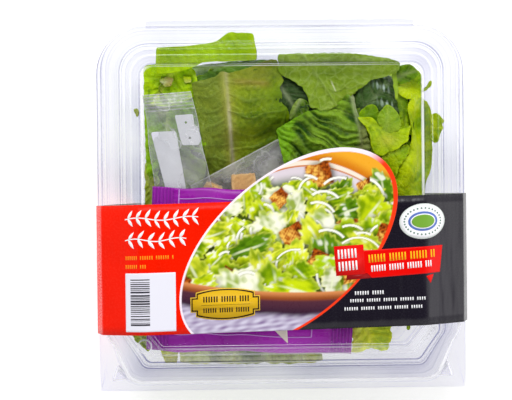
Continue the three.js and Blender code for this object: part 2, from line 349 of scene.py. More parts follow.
def purple_film():
    """Printed pouch film: a glossy purple, deeper along the ribs of its seals."""
    n = Nodes("purple_film")
    patches = n.noise(28.0, 2.0)
    mark = n.mark()
    deep = n.between(srgb(138, 6, 144), srgb(172, 36, 180), patches, 0.35, 0.65)
    colour = n.blend(n.math("MULTIPLY", mark, 0.55), deep, srgb(96, 12, 120))
    creases = n.noise(160.0, 3.0)
    skin = n.shader(
        "Principled",
        Base_Color=colour,
        Roughness=n.span(n.noise(90.0), 0.35, 0.65, 0.22, 0.36),
        Specular_IOR_Level=0.3,
        Normal=n.bump(creases, 0.00012, 0.3),
    )
    return n.surface(skin)


def clear_film(name, tint, milk, veil, crinkle_glints):
    """Soft clear pouch film: see-through, with a milky veil, and fine crinkles painted whiter as painted
    highlights.
    """
    n = Nodes(name)
    facing = n.facing()
    mark = n.mark()
    clear = n.shader("Transparent", Color=tint)
    folds = n.noise(75.0, 3.0, 0.5)
    away = n.math("ABSOLUTE", n.math("SUBTRACT", folds, 0.5))
    lines = n.math("POWER", n.span(away, 0.0, 0.035, 1.0, 0.0), 1.5)
    where = n.span(n.noise(40.0, 2.0), 0.45, 0.62)
    patches = n.span(n.noise(60.0, 3.0), 0.35, 0.7, 0.5, 1.6)
    # painted highlights: the crinkle lines and the folds' crests are painted whiter, for the light they would
    # catch
    painted_glint = n.math("MAXIMUM", lines, n.span(folds, 0.3, 0.7))
    skin = n.shader(
        "Principled",
        Base_Color=n.blend(painted_glint, milk * 0.75, milk),
        Roughness=n.span(n.noise(120.0), 0.3, 0.7, 0.2, 0.32),
        Normal=n.bump(n.math("ADD", folds, n.math("MULTIPLY", lines, 0.05)), 0.004, 0.8),
    )
    slant = n.math("MULTIPLY", n.math("POWER", facing, 3.0), 0.4)
    share = n.math("ADD", slant, n.math("MULTIPLY", patches, veil))
    # the crinkle lines laid on more thickly, as painted highlights
    share = n.math("ADD", share, n.math("MULTIPLY", n.math("MULTIPLY", lines, where), crinkle_glints))
    share = n.math("ADD", share, mark, clamp=True)
    return n.surface(n.both(share, clear, skin))


def fork_plastic():
    n = Nodes("fork_plastic")
    cloud = n.noise(60.0, 2.0)
    tone = n.between(srgb(221, 221, 228), srgb(239, 239, 244), cloud)
    skin = n.shader(
        "Principled",
        Base_Color=tone,
        Roughness=n.span(n.noise(300.0), 0.3, 0.7, 0.28, 0.4),
        Normal=n.bump(n.noise(220.0, 3.0), 0.00004, 0.3),
    )
    return n.surface(skin)


def toast():
    """Crouton: tan crumb with brown toasted spots, and open pores painted darker brown as painted shade."""
    n = Nodes("toast")
    colour = n.paint()
    crumbs = n.noise(420.0, 5.0, 0.65)
    pore_shade = n.span(crumbs, 0.28, 0.42, 1.0, 0.0)
    browned = n.span(n.noise(130.0, 3.0), 0.5, 0.75, 0.0, 0.45)
    tone = n.blend(browned, colour, srgb(196, 142, 72))
    # painted shade: the open pores, where the surface sinks, are painted dark brown
    tone = n.blend(n.math("MULTIPLY", pore_shade, 0.6), tone, srgb(120, 74, 34))
    pitted = n.bump(crumbs, 0.0006, 0.9)
    return n.surface(n.shader("Principled", Base_Color=tone, Roughness=0.85, Normal=pitted))


def lettuce(name, gloss=0.38, glow=0.2, relief=0.0004):
    """A leaf's skin: the colour laid on its points, broken up by finer veins, waxy, and a little
    see-through to light from behind."""
    n = Nodes(name)
    colour = n.paint()
    net = n.add("TexVoronoi", {"feature": "DISTANCE_TO_EDGE"}, Scale=480.0)
    n.put(net.inputs["Vector"], n.where())
    lines = n.span(net.outputs["Distance"], 0.0, 0.16, 1.0, 0.0)
    mottle = n.noise(240.0, 5.0, 0.6)
    cloud = n.noise(90.0, 3.0)
    tone = n.blend(n.span(mottle, 0.35, 0.7, 0.0, 0.45), colour, n.times(colour, (0.6, 0.7, 0.5)))
    tone = n.blend(n.span(cloud, 0.4, 0.7, 0.0, 0.35), tone, n.times(tone, (1.22, 1.12, 0.9)))
    tone = n.blend(n.math("MULTIPLY", lines, 0.12), tone, n.times(colour, (1.5, 1.35, 1.2)))
    height = n.math("ADD", n.math("MULTIPLY", mottle, 0.9), n.math("MULTIPLY", lines, -0.2))
    normal = n.bump(height, relief * 2.0, 0.8)
    skin = n.shader(
        "Principled",
        Base_Color=tone,
        Roughness=n.span(mottle, 0.3, 0.7, gloss * 0.8, gloss * 1.3),
        Specular_IOR_Level=0.16,
        Normal=normal,
    )
    through = n.shader("Translucent", Color=n.times(tone, (1.25, 1.15, 0.5)), Normal=normal)
    return n.surface(n.both(glow, skin, through))


LID_PET = clear_plastic("lid_pet")
TRAY_PET = clear_plastic("tray_pet")
BOARD = card_board()

# ---- the clamshell's plan outlines and sheets ----

REAR_ROUND = 6.3  # radius of the raised panel's rear corners
REAR_GROWTH = 0.75  # what the radius gains for each mm further out
FRONT_LEG = 11.2  # reach of the raised panel's front chamfers along its sides
FRONT_GROWTH = 0.32  # what they gain for each mm further out
EAR_LEG = 2.4  # the small chamfer of an ear, and how it is rounded
EAR_ROUND = 2.2
REAR_STEPS = 14
FRONT_STEPS = 6
STRETCHES = (20, 20, 6, 20, 6, 20)  # divisions of the straight stretches after each bend
CORNER_CUT = 0.3  # how far from a corner of a sheet's profile its bend begins
CORNER_STEPS = 4
HINGE_WIDTH = 138.0
BEAD = 0.8  # radius of the round edge of the hinge strip
EAR_SPOT = np.array([LID_HIGH[0] - 6.6, -(PANEL + RIM) + 5.6])  # an ear button's outer corner


def arc(cx, cy, radius, start, end, steps):
    angle = np.linspace(start, end, steps + 1)
    return np.stack([cx + radius * np.cos(angle), cy + radius * np.sin(angle)], 1)


def plan_outline(out, ear=False):
    """The outline `out` mm outside the raised panel: round rear corners, chamfered front corners,
    which an ear fills out to nearly square."""
    def narrowed(share):
        return PANEL + (WALL_OUT + (out - WALL_OUT) * share if out > WALL_OUT else out)

    half = PANEL + out
    side, rear = narrowed(SIDE_FLANGE), narrowed(REAR_FLANGE)
    bend = max(3.0, REAR_ROUND + REAR_GROWTH * out)
    leg = EAR_LEG if ear else max(3.0, FRONT_LEG + FRONT_GROWTH * out + 0.55 * max(0, out - 8.2))
    soft = EAR_ROUND if ear else min(2.5 + 0.025 * max(0, out) ** 2, 1.5 * leg)
    reach = soft * math.tan(math.pi / 8)
    step = math.pi / 4
    x1, y1 = side - leg, leg - half
    bends = [
        arc(side - bend, rear - bend, bend, 0, 2 * step, REAR_STEPS),
        arc(bend - side, rear - bend, bend, 2 * step, 4 * step, REAR_STEPS),
        arc(soft - side, y1 + reach, soft, 4 * step, 5 * step, FRONT_STEPS),
        arc(-x1 - reach, soft - half, soft, 5 * step, 6 * step, FRONT_STEPS),
        arc(x1 + reach, soft - half, soft, 6 * step, 7 * step, FRONT_STEPS),
        arc(side - soft, y1 + reach, soft, 7 * step, 8 * step, FRONT_STEPS),
    ]
    ring = []
    for i, turn in enumerate(bends):
        following = bends[(i + 1) % len(bends)][0]
        share = np.arange(1, STRETCHES[i])[:, None] / STRETCHES[i]
        ring += [turn, turn[-1] * (1 - share) + following * share]
    return np.concatenate(ring)


def soften(profile):
    """Rounds a profile's corners. A row is [out, height, mark at the bend, mark at the bend in the
    front wall, mark of the stretch that follows, the same in the front wall]. Each point comes back
    with its two marks."""
    rows = [np.array(row, float) for row in profile]
    rounded = [(rows[0][:2], rows[0][4:])]
    for before, row, after in zip(rows, rows[1:], rows[2:]):
        corner = row[:2]
        into, onward = corner - before[:2], after[:2] - corner
        size_in, size_on = np.linalg.norm(into), np.linalg.norm(onward)
        reach = min(CORNER_CUT, 0.45 * size_in, 0.45 * size_on)
        start = corner - into / size_in * reach
        end = corner + onward / size_on * reach
        for k in range(CORNER_STEPS + 1):
            t = k / CORNER_STEPS
            marks = (1 - t) * before[4:] + t * row[4:] + math.sin(math.pi * t) * row[2:4]
            rounded.append((curve(start, corner, end, t), marks))
    rounded.append((rows[-1][:2], rows[-1][2:4]))
    return rounded


def offset_line(points, distance):
    """Moves a line of 2D points square to its own direction, to the right of its run."""
    ahead = np.gradient(points, axis=0)
    ahead /= lengths(ahead)[:, None]
    return points + distance * np.stack([ahead[:, 1], -ahead[:, 0]], 1)


def add_sheet(build, profile, seed):
    """A closed thin shell. The profile is its upper side, from the middle out to the rim, as rows of
    soften's; its rim fills out the two front corners with ears."""
    upper, marks = (np.array(part) for part in zip(*soften(profile)))
    lower = offset_line(upper, SHEET)
    line = np.concatenate([upper, lower[::-1]])
    marks = np.concatenate([marks, marks[::-1]])
    ears = np.concatenate([upper[:, 0], upper[::-1, 0]]) > RIM - 0.7
    rings, ring_marks = [], []
    for (out, z), (mark, front_mark), ear in zip(line, marks, ears):
        plan = plan_outline(out, ear)
        sway = 0.07 * ripple(plan[:, 0], plan[:, 1], seed, 34.0)
        height = np.full(len(plan), z + PART_Z) + sway
        rings.append(np.column_stack([plan * (1 + 0.0006 * sway[:, None]), height]))
        # towards the front, the front-wall columns take over. They add more painted shade, for the front
        # walls lie in shade, and a pale painted veil at some bends and stretches.
        front = smooth(-46, -66, plan[:, 1])
        unevenness = 1 + 0.35 * ripple(plan[:, 0], plan[:, 1], seed + 1, 46.0)
        # along the panel's sides at the ridge, a painted highlight (a mark below 0) for the ridge's bright
        # lines
        sides = smooth(PANEL - 6, PANEL - 1, np.abs(plan[:, 0])) * (-1.1 < out < 0.1)
        mark = mark * (1 - sides) - 0.6 * sides
        ring_marks.append((mark * (1 - front) + front_mark * front) * np.clip(unevenness, 0.3, 1.7))
    build.add_rings(rings, np.concatenate(ring_marks), flip=True)


def add_bump(build, outline, centre, z, height, flare, lean, mark):
    """A small raised form: rings of one outline, drawn in to the share `lean` of it as they rise. Its
    slope is painted pale, a painted highlight, as far as `mark` goes below 0."""
    outline = np.asarray(outline, float)
    levels = ((1 + flare, 0.0), (1.0, 0.25), (0.97, 0.6), (lean + 0.06, 0.94), (lean - 0.02, 1.0), (0.3, 1.0))
    rings = [
        np.column_stack([centre + outline * size, np.full(len(outline), z + height * up)])
        for size, up in levels
    ]
    build.add_rings(rings, np.repeat([0.02, mark, mark, mark, 0.02, 0.0], len(outline)))


def rounded_polygon(corners, radius, steps=5):
    """A polygon with its corners rounded by short curves."""
    corners = np.asarray(corners, float)
    points = []
    for before, corner, after in zip(np.roll(corners, 1, 0), corners, np.roll(corners, -1, 0)):
        back = (before - corner) / np.linalg.norm(before - corner)
        on = (after - corner) / np.linalg.norm(after - corner)
        for k in range(steps + 1):
            t = k / steps
            points.append(corner + back * radius * (1 - t) ** 2 + on * radius * t * t)
    return np.array(points)


def ear_buttons(build, size, z, height):
    """Three-sided snap buttons on the two front ears."""
    for side in (-1, 1):
        outline = rounded_polygon(np.array([[0, 0], [-2.9, 7.9], [-10.0, 1.0]]) * size, 1.2)
        middle = outline.mean(0)
        outline = (outline - middle) * [side, 1]
        centre = (EAR_SPOT + middle) * [side, 1]
        add_bump(build, outline if side > 0 else outline[::-1], centre, z, height, 0.12, 0.66, -0.55)


def tray():
    level = 1.5 - TRAY_DEPTH
    inside = [
        # out, height, mark at the bend, in front, mark of the stretch after it, in front; a mark above 0 is
        # painted shade, below 0 a painted highlight
        [-66, level, 0, 0, 0, 0],
        [-40, level, 0, 0, 0, 0],
        [-16, level, 0.05, 0.05, 0.02, 0.02],
        [-14.5, -TRAY_DEPTH, 0.05, 0.05, 0, 0],
        [1.5, -TRAY_DEPTH, 0.05, 0.1, 0.02, 0.06],
        [4.4, 1.2 - TRAY_DEPTH, 0.03, 0.1, 0.02, 0.06],
        [5.8, 4.2 - TRAY_DEPTH, 0.03, 0.1, 0.02, 0.08],
        [10.5, -25.8, 0, 0, 0.02, 0.08],
        [15.2, -9.4, 0.06, 0.15, 0.02, 0.1],
        [16.2, -8.4, 0.03, 0.05, 0.02, 0.08],
        [18.2, -7.8, 0.06, 0.1, 0.02, 0.06],
        [19.2, -6.6, 0.03, 0.05, 0.02, 0.05],
        [20.4, -1.4, 0.06, 0.1, 0.02, 0.04],
        [21.4, -GAP / 2, 0.03, 0.05, 0.03, 0.03],
        [22.4, -GAP / 2, 0, 0, 0.03, 0.03],
        [RIM - 0.5, -GAP / 2, 0.08, 0.03, 0.08, 0.03],
        [RIM, -GAP / 2, 0.16, 0.05, 0, 0],
    ]
    build = Build()
    add_sheet(build, inside, 11)
    ear_buttons(build, 0.8, PART_Z - GAP / 2 - 0.05, 1.5)
    hinge_strip(build)
    build.piece("tray_sheet", [TRAY_PET], "clear_sheet", ["tray"])


def hinge_strip(build):
    """The strip behind the flange that the lid folds on, with a round bead at its edge."""
    rear = plan_outline(RIM)[REAR_STEPS][1]
    reach = TRAY_HIGH[1] - rear
    z = PART_Z - GAP / 2 - SHEET / 2
    section = [[-1.5, 0.3], [reach - 1.5, 0.3]]
    for k in range(9):
        angle = math.radians(140 - k * 35)
        section.append([reach - BEAD + BEAD * math.cos(angle), BEAD * math.sin(angle)])
    section = np.array(section + [[reach - 1.5, -0.3], [-1.5, -0.3]])
    rings = []
    for x in np.linspace(-HINGE_WIDTH / 2, HINGE_WIDTH / 2, 25):
        inset = 0.4 * smooth(HINGE_WIDTH / 2 - 1.2, HINGE_WIDTH / 2, abs(x))
        y = rear + section[:, 0] - inset
        rings.append(np.column_stack([np.full(len(section), x), y, z + section[:, 1]]))
    # painted shade in the sheet, heavier along the round bead
    mark = np.tile(np.where(section[:, 0] > reach - 1.6, 0.2, 0.02), len(rings))
    build.add_rings(rings, mark, flip=True)


def lid():
    top = SHEET + GAP / 2
    outside = [
        # out, height, mark at the bend, in front, mark of the stretch after it, in front; a mark above 0 is
        # painted shade, below 0 a painted highlight
        [-66, PANEL_Z, 0, 0, 0, 0],
        [-44, PANEL_Z, 0, 0, 0, 0],
        [-22, PANEL_Z, 0, 0, 0, 0],
        [-1.7, PANEL_Z, 0.06, 0.1, 0.0, 0.05],
        [-1.0, RIDGE_Z - 0.2, -0.8, -0.6, 0.05, 0.05],
        [-0.5, RIDGE_Z, 0.05, 0.1, 0.05, 0.12],
        [0.0, RIDGE_Z - 0.2, -0.55, 0.1, 0.35, 0.1],
        [0.9, PANEL_Z - 0.2, 0.5, -0.65, 0.2, -0.05],
        [2.4, BAND_Z + 5.4, 0.1, 0.0, 0.2, -0.08],
        [4.4, BAND_Z + 3.2, 0.06, -0.3, 0.17, -0.1],
        [5.4, BAND_Z + 2.6, -0.35, 0.1, 0.14, -0.08],
        [7.9, BAND_Z + 2.3, 0.25, 0.95, 0.1, 0.35],
        [8.6, BAND_Z + 1.5, -0.15, -0.65, 0.07, 0.08],
        [10.0, BAND_Z + 1.3, 0.42, 0.6, 0.05, 0.14],
        [10.5, BAND_Z + 0.6, -0.1, -0.5, 0.05, 0.13],
        [11.2, BAND_Z + 0.4, 0.42, 0.55, 0.08, 0.18],
        [12.6, BAND_Z - 0.2, 0.03, 0.0, 0.08, 0.14],
        [15.4, BAND_Z - 0.6, 0.0, 0.0, 0.08, 0.09],
        [18.0, BAND_Z - 1, 0.14, -0.2, 0.03, -0.5],
        [19.2, BAND_Z - 1.7, -0.15, -0.5, 0.03, 0.02],
        [19.8, BAND_Z - 3, 0.12, 0.12, 0.03, 0.08],
        [20.9, top + 0.8, 0.14, 0.1, 0.03, 0.04],
        [21.6, top, 0.42, -0.12, 0.05, 0.03],
        [22.4, top, 0, 0, 0.05, 0.03],
        [RIM - 0.5, top, 0.2, 0.04, 0.2, 0.04],
        [RIM, top, 0.3, 0.06, 0, 0],
    ]
    build = Build()
    add_sheet(build, outside, 5)
    ear_buttons(build, 1.0, PART_Z + top - 0.1, 2.5)
    corner_marks(build)
    build.piece("lid_sheet", [LID_PET], "clear_sheet", ["lid"])


def corner_marks(build):
    """A row of short embossed bars on the front right corner's shoulder, and a round stop on the
    front left one's."""
    along = np.array([1, 1]) / math.sqrt(2)
    turn = np.array([[along[0], along[1]], [-along[1], along[0]]])
    bar = rounded_polygon([[-0.3, -0.95], [0.3, -0.95], [0.3, 0.95], [-0.3, 0.95]], 0.25, 3)
    start = np.array([PANEL + 0.2, -PANEL + 1.8])
    for k in range(5):
        add_bump(build, bar @ turn, start + along * 1.9 * k, PART_Z + BAND_Z + 2.9, 0.5, 0.2, 0.75, -0.8)
    stop = arc(0, 0, 3.7, 0, 2 * math.pi, 28)[:-1]
    add_bump(build, stop, [-PANEL + 0.4, -PANEL + 0.2], PART_Z + BAND_Z + 2.3, 0.7, 0.06, 0.8, -0.75)


# ---- the card sleeve ----

SLEEVE_FRONT = -62.6  # where the band's edges cross the middle of the pack
SLEEVE_BACK = 2.7
SLEEVE_SKEW = 0.024  # how far it lies askew: mm towards the hinge for each mm to the right
SIDE_BEND = [PANEL + 20.9, PART_Z + BAND_Z + 0.2]  # crease between shoulder and side
# the die-cut head is a tilted oval: its middle, its half lengths and its turn
HEAD = {"x": 2.4, "y": -21.5, "long": 64.8, "short": 36.4, "turn": math.radians(40)}
HEAD_INSET = 0.02  # what its rows stop short of its very tip, in mm


def sleeve_section():
    """Half of the card loop's outer line, from the middle of the top round to the middle of the
    base, bent softly over the lid and creased at its sides."""
    half = CARD_HIGH[0]
    corners = [
        (0, CARD_TOP),
        (PANEL + 0.6, CARD_TOP),
        SIDE_BEND,
        (half, PART_Z + 2.1),
        (half, PART_Z - 2.2),
        (PANEL + 7.7, 0),
        (0, 0),
    ]
    corners = [np.array(corner, float) for corner in corners]
    points = [corners[0]]
    for cut, before, corner, after in zip((3.0, 1.0, 0.8, 0.8, 0.8), corners, corners[1:], corners[2:]):
        start = corner + (before - corner) / np.linalg.norm(before - corner) * cut
        end = corner + (after - corner) / np.linalg.norm(after - corner) * cut
        run = max(2, int(np.linalg.norm(start - points[-1]) / 3.5))
        points += [points[-1] + (start - points[-1]) * k / run for k in range(1, run)]
        points += [curve(start, corner, end, k / 6) for k in range(7)]
    run, last = 24, points[-1]
    points += [last + (corners[-1] - last) * k / run for k in range(1, run + 1)]
    line = np.array(points)
    return line[np.concatenate([[True], lengths(np.diff(line, axis=0)) > 1e-6])]


SECTION = sleeve_section()
SECTION_RUN = np.concatenate([[0], np.cumsum(lengths(np.diff(SECTION, axis=0)))])


def on_card(across, along, lift=0.0):
    """A place on the sleeve's outer side: `across` runs over the card from its middle, `along` from
    front to back, `lift` stands off it."""
    across, along = np.asarray(across, float), np.asarray(along, float)
    run = np.abs(across)
    side = np.where(across < 0, -1.0, 1.0)

    def section(at):
        return np.interp(at, SECTION_RUN, SECTION[:, 0]), np.interp(at, SECTION_RUN, SECTION[:, 1])

    step = 0.4
    x, z = section(run)
    (x1, z1), (x0, z0) = section(run + step), section(run - step)
    dx, dz = x1 - x0, z1 - z0
    size = np.hypot(dx, dz)
    x, z = x - dz / size * lift, z + dx / size * lift
    return np.stack([side * x, along + SLEEVE_SKEW * side * x, z], -1)


def head_grid(step, front, columns):
    """Grid of places inside the tilted oval, in rows parallel to the sleeve's edges."""
    long, short, turn = HEAD["long"], HEAD["short"], HEAD["turn"]
    cos, sin = math.cos(turn), math.sin(turn)
    top = head_top() - HEAD_INSET
    rows = []
    for y in np.linspace(front, top, int((top - front) / step) + 1):
        p1, q1 = cos + SLEEVE_SKEW * sin, (y - HEAD["y"]) * sin - HEAD["x"] * cos
        p2, q2 = -sin + SLEEVE_SKEW * cos, (y - HEAD["y"]) * cos + HEAD["x"] * sin
        a = (p1 / long) ** 2 + (p2 / short) ** 2
        b = p1 * q1 / long**2 + p2 * q2 / short**2
        c = (q1 / long) ** 2 + (q2 / short) ** 2 - 1
        root = math.sqrt(max(b * b - a * c, 1e-9))
        rows.append(((-b - root) / a, (-b + root) / a, y))
    rows = np.array(rows)
    share = np.linspace(0, 1, columns)
    x = rows[:, :1] * (1 - share) + rows[:, 1:2] * share
    return x, rows[:, 2:] + SLEEVE_SKEW * x


def head_top():
    """The oval's furthest reach towards the hinge, measured square to the sleeve's edges."""
    long, short, turn = HEAD["long"], HEAD["short"], HEAD["turn"]
    angle = np.linspace(0, 2 * math.pi, 2000)
    x = HEAD["x"] + long * np.cos(angle) * math.cos(turn) - short * np.sin(angle) * math.sin(turn)
    y = HEAD["y"] + long * np.cos(angle) * math.sin(turn) + short * np.sin(angle) * math.cos(turn)
    return (y - SLEEVE_SKEW * x).max()


def slab(build, top, bottom, paint=(1, 1, 1), flat=False):
    """A thin closed body between two equal grids of points; a flat underside is a single face."""
    rows, columns = top.shape[:2]
    count = rows * columns
    edge = np.concatenate(
        [
            np.arange(columns - 1),
            np.arange(rows - 1) * columns + columns - 1,
            count - 1 - np.arange(columns - 1),
            (rows - 1 - np.arange(rows - 1)) * columns,
        ]
    )
    kept = edge if flat else np.arange(count)
    under = count + (np.arange(len(edge)) if flat else edge)
    walls = np.stack([edge, under, np.roll(under, -1), np.roll(edge, -1)], -1)
    base = [under[::-1].tolist()] if flat else grid_faces(rows, columns, count, flip=True)
    if np.ndim(paint) == 3:
        paint = paint.reshape(-1, 3)
        paint = np.concatenate([paint, paint[kept]])
    points = np.concatenate([top.reshape(-1, 3), bottom.reshape(-1, 3)[kept]])
    build.add(points, [grid_faces(rows, columns), base, walls], paint)


def sleeve():
    """The card itself: a loop with a red left and a dark right, and the oval head behind it."""
    inner = offset_line(SECTION, CARD)
    inner[0] = [0, CARD_TOP - CARD]
    inner[-1] = [0, CARD]
    outer, inner = (np.concatenate([half, half[-2:0:-1] * [-1, 1]]) for half in (SECTION, inner))
    build = Build()
    count = len(outer)
    along = np.linspace(SLEEVE_FRONT, SLEEVE_BACK, 15)
    for line, flip in ((outer, False), (inner, True)):
        outside = len(build.faces)
        x, z = line.T
        rings = [np.column_stack([x, y + SLEEVE_SKEW * x, z]) for y in along]
        build.add(np.concatenate(rings), [grid_faces(len(along), count, closed=True, flip=flip)])
    last = (len(along) - 1) * count
    j = np.arange(count)
    k = (j + 1) % count
    under = len(along) * count
    front = np.stack([j, j + under, k + under, k], -1)
    back = np.stack([k + last, k + last + under, j + last + under, j + last], -1)
    build.faces += front.tolist() + back.tolist()
    # the head: rows of the oval behind the band
    x, y = head_grid(1.0, SLEEVE_BACK, 40)
    plate = np.stack([x, y, np.full(x.shape, CARD_TOP)], -1)
    head_start = len(build.faces)
    slab(build, plate, plate - [0, 0, CARD])
    piece = build.piece("sleeve_card", [card_ink(), BOARD], "printed_card", ["sleeve"])
    board_faces = np.zeros(len(build.faces), int)
    board_faces[outside:head_start] = 1
    board_faces[head_start + (x.shape[0] - 1) * (x.shape[1] - 1) :] = 1
    piece.data.polygons.foreach_set("material_index", board_faces)


# ---- the sleeve's print ----

TICK_SHARE = 0.52  # how much of its pitch a tick fills
TICK_GROUP = 7  # ticks in a group, with the gap after it
INK = 0.03  # how far one layer of print stands over the one below, in mm
BEND_AT = 64  # past this far from the middle, in mm, a patch of print is made to bend with the card
MEDALLION_DOTS = 30
WHITE = srgb(250, 250, 252)
ORANGE_INK = srgb(255, 150, 20)
YELLOW = srgb(226, 180, 22)
YELLOW_EDGE = srgb(232, 190, 60)
KEYLINE = srgb(45, 26, 8)
TAG_RED = srgb(236, 6, 2)
TAG_SHADE = srgb(150, 4, 10)
TAG_YELLOW = srgb(255, 190, 20)
STRIPE_RED = srgb(250, 62, 24)
PANEL_INK = srgb(236, 235, 246)
BAR_INK = srgb(58, 56, 66)


def lay(build, flat, layer, paint):
    """Puts a grid of card places down as a layer of ink."""
    top = on_card(flat[..., 0], flat[..., 1], INK * layer)
    bottom = on_card(flat[..., 0], flat[..., 1], INK * (layer - 1) - 0.01)
    slab(build, top, bottom, paint)


def patch(build, corners, layer, paint):
    """A four-sided field of one colour on the card, its corners in order round it."""
    a, b, c, d = (np.array(p, float) for p in corners)
    on_bend = max(abs(a[0]), abs(b[0]), abs(c[0])) > BEND_AT

    def steps(start, end):
        return 2 + (int(np.linalg.norm(end - start) / 0.9) if on_bend else 0)

    u = np.linspace(0, 1, max(steps(a, b), steps(d, c)))[None, :, None]
    v = np.linspace(0, 1, max(steps(b, c), steps(a, d)))[:, None, None]
    lay(build, (a * (1 - u) + b * u) * (1 - v) + (d * (1 - u) + c * u) * v, layer, paint)


def disc(build, centre, long, short, turn, layer, paint, steps=13):
    """A filled oval, as a square grid drawn out to its rim."""
    side = np.linspace(-1, 1, steps)
    a, b = np.meshgrid(side, side)
    x, y = turned(a * np.sqrt(1 - b * b / 2) * long, b * np.sqrt(1 - a * a / 2) * short, turn)
    lay(build, np.stack([centre[0] + x, centre[1] + y], -1), layer, paint)


def lens(build, base, tip, width, layer, paint):
    """A small pointed leaf from its base to its tip."""
    along = tip - base
    across = np.array([-along[1], along[0]]) / np.linalg.norm(along)
    t = np.linspace(0.02, 0.98, 7)[None, :, None]
    v = np.array([-0.5, 0.5])[:, None, None]
    lay(build, base + along * t + across * v * width * np.sin(np.pi * t**0.8), layer, paint)


def block(build, x, y, width, height, layer, paint, turn=0.0):
    """A rectangle by its lower left corner."""
    corners = [turned(u, v, turn) for u, v in ((0, 0), (width, 0), (width, height), (0, height))]
    patch(build, [(x + u, y + v) for u, v in corners], layer, paint)


def ticks(build, x, y, length, height, layer, paint, unit, turn=0.0):
    """A row of plain upright ticks, all alike and in equal groups, where a line of print would be."""
    for k in range(int(length / unit)):
        if k % TICK_GROUP < TICK_GROUP - 1:
            along = k * unit
            spot = x + along * math.cos(turn), y + along * math.sin(turn)
            block(build, *spot, unit * TICK_SHARE, height, layer, paint, turn)


def garland(build, x, y, length, height, seed):
    """A row of leaves along a stem: the ornament in the title's place."""
    rng = np.random.default_rng(seed)
    u = np.linspace(0, 1, 24)
    stem = np.stack([x + u * length, y + height * (0.5 + 0.1 * np.sin(u * 9))], -1)
    thick = 0.28
    lay(build, np.stack([stem - [0, thick], stem + [0, thick]], 0), 1, WHITE)
    count = int(length / 4.6)
    for k in range(count):
        at = (k + 0.35) / count
        foot = np.array([x + at * length, y + height * (0.5 + 0.1 * math.sin(at * 9))])
        for side in (-1, 1):
            reach = height * rng.uniform(0.5, 0.62)
            tip = foot + [3.1 * rng.uniform(0.85, 1.15), side * reach]
            lens(build, foot, tip, 1.5 * rng.uniform(0.9, 1.15), 1.5 + 0.2 * side, WHITE)


def print_left():
    """Garlands, rows of ticks and the white panel with bars on the red field."""
    build = Build()
    garland(build, -80.2, -8.4, 37.5, 7.6, 3)
    garland(build, -80.2, -18.9, 31.5, 7.6, 4)
    ticks(build, -80.0, -24.8, 26.0, 1.9, 1, ORANGE_INK, 1.15)
    ticks(build, -80.0, -29.2, 12.5, 1.9, 1, ORANGE_INK, 1.15)
    block(build, -80.2, -60.9, 26.0, 29.4, 1, PANEL_INK)
    rng = np.random.default_rng(8)
    y = -57.8
    while y < -34.6:
        thick = rng.choice([0.35, 0.55, 0.9])
        block(build, -77.4, y, 10.2, thick, 2, BAR_INK)
        y += thick + rng.choice([0.35, 0.5, 0.8])
    build.piece("print_left", [painted("print_ink")], "printed_card")


def print_right():
    """Plain medallion, tag and ribbon, and rows of ticks on the dark field."""
    build = Build()
    centre = (70.1, -10.4)
    disc(build, centre, 12.2, 8.9, 0.03, 1, srgb(226, 232, 228))
    disc(build, centre, 11.5, 8.2, 0.03, 2, WHITE)
    for k in range(MEDALLION_DOTS):
        angle = 2 * math.pi * k / MEDALLION_DOTS
        spot = centre[0] + 9.7 * math.cos(angle), centre[1] + 6.6 * math.sin(angle)
        disc(build, spot, 0.45, 0.45, 0.0, 3, srgb(92, 128, 110), 5)
    disc(build, centre, 7.8, 4.9, 0.03, 3, srgb(92, 120, 196))
    disc(build, centre, 6.6, 3.8, 0.03, 4, WHITE)
    disc(build, centre, 6.0, 3.3, 0.03, 5, srgb(120, 170, 60))
    # the ribbon with its folded tails, then the square tag over its left end
    patch(build, [(71.3, -38.0), (75.3, -37.0), (75.3, -37.7), (73.6, -41.6)], 1, TAG_RED)
    patch(build, [(31.0, -38.5), (79.1, -36.3), (80.8, -22.8), (39.0, -24.0)], 2, TAG_RED)
    patch(build, [(31.0, -38.5), (44.0, -37.9), (41.6, -35.4), (31.4, -35.6)], 3, TAG_SHADE)
    ticks(build, 42.4, -30.2, 35.4, 3.9, 4, TAG_YELLOW, 1.5, 0.05)
    ticks(build, 43.7, -34.8, 31.6, 3.1, 4, WHITE, 1.3, 0.055)
    patch(build, [(26.0, -36.3), (40.6, -35.8), (39.7, -21.0), (24.9, -21.5)], 4, TAG_RED)
    ticks(build, 27.0, -27.9, 11.6, 4.6, 5, WHITE, 1.7, 0.06)
    ticks(build, 27.4, -34.0, 11.6, 4.6, 5, WHITE, 1.7, 0.06)
    ticks(build, 35.3, -46.2, 16.2, 1.9, 1, WHITE, 1.25)
    ticks(build, 32.9, -49.8, 39.0, 1.6, 1, WHITE, 1.2)
    ticks(build, 30.0, -53.8, 40.4, 1.6, 1, WHITE, 1.2)
    build.piece("print_right", [painted("print_ink_right")], "printed_card")


def plaque(build, grow, layer, paint):
    """A label with bowed long sides and stepped ends."""
    x0, x1, y0, y1 = -46.2 - grow, -13.0 + grow, -53.6 - grow, -42.9 + grow
    u = np.linspace(-1, 1, 15)
    bow = 1.9 * (1 - u**2)
    x = (x0 + x1) / 2 + u * (x1 - x0 - 5.2) / 2
    lay(build, np.stack([np.stack([x, y0 - bow], -1), np.stack([x, y1 + bow], -1)], 0), layer, paint)
    block(build, x0, y0 + 2.3, x1 - x0, y1 - y0 - 4.6, layer + 0.4, paint)


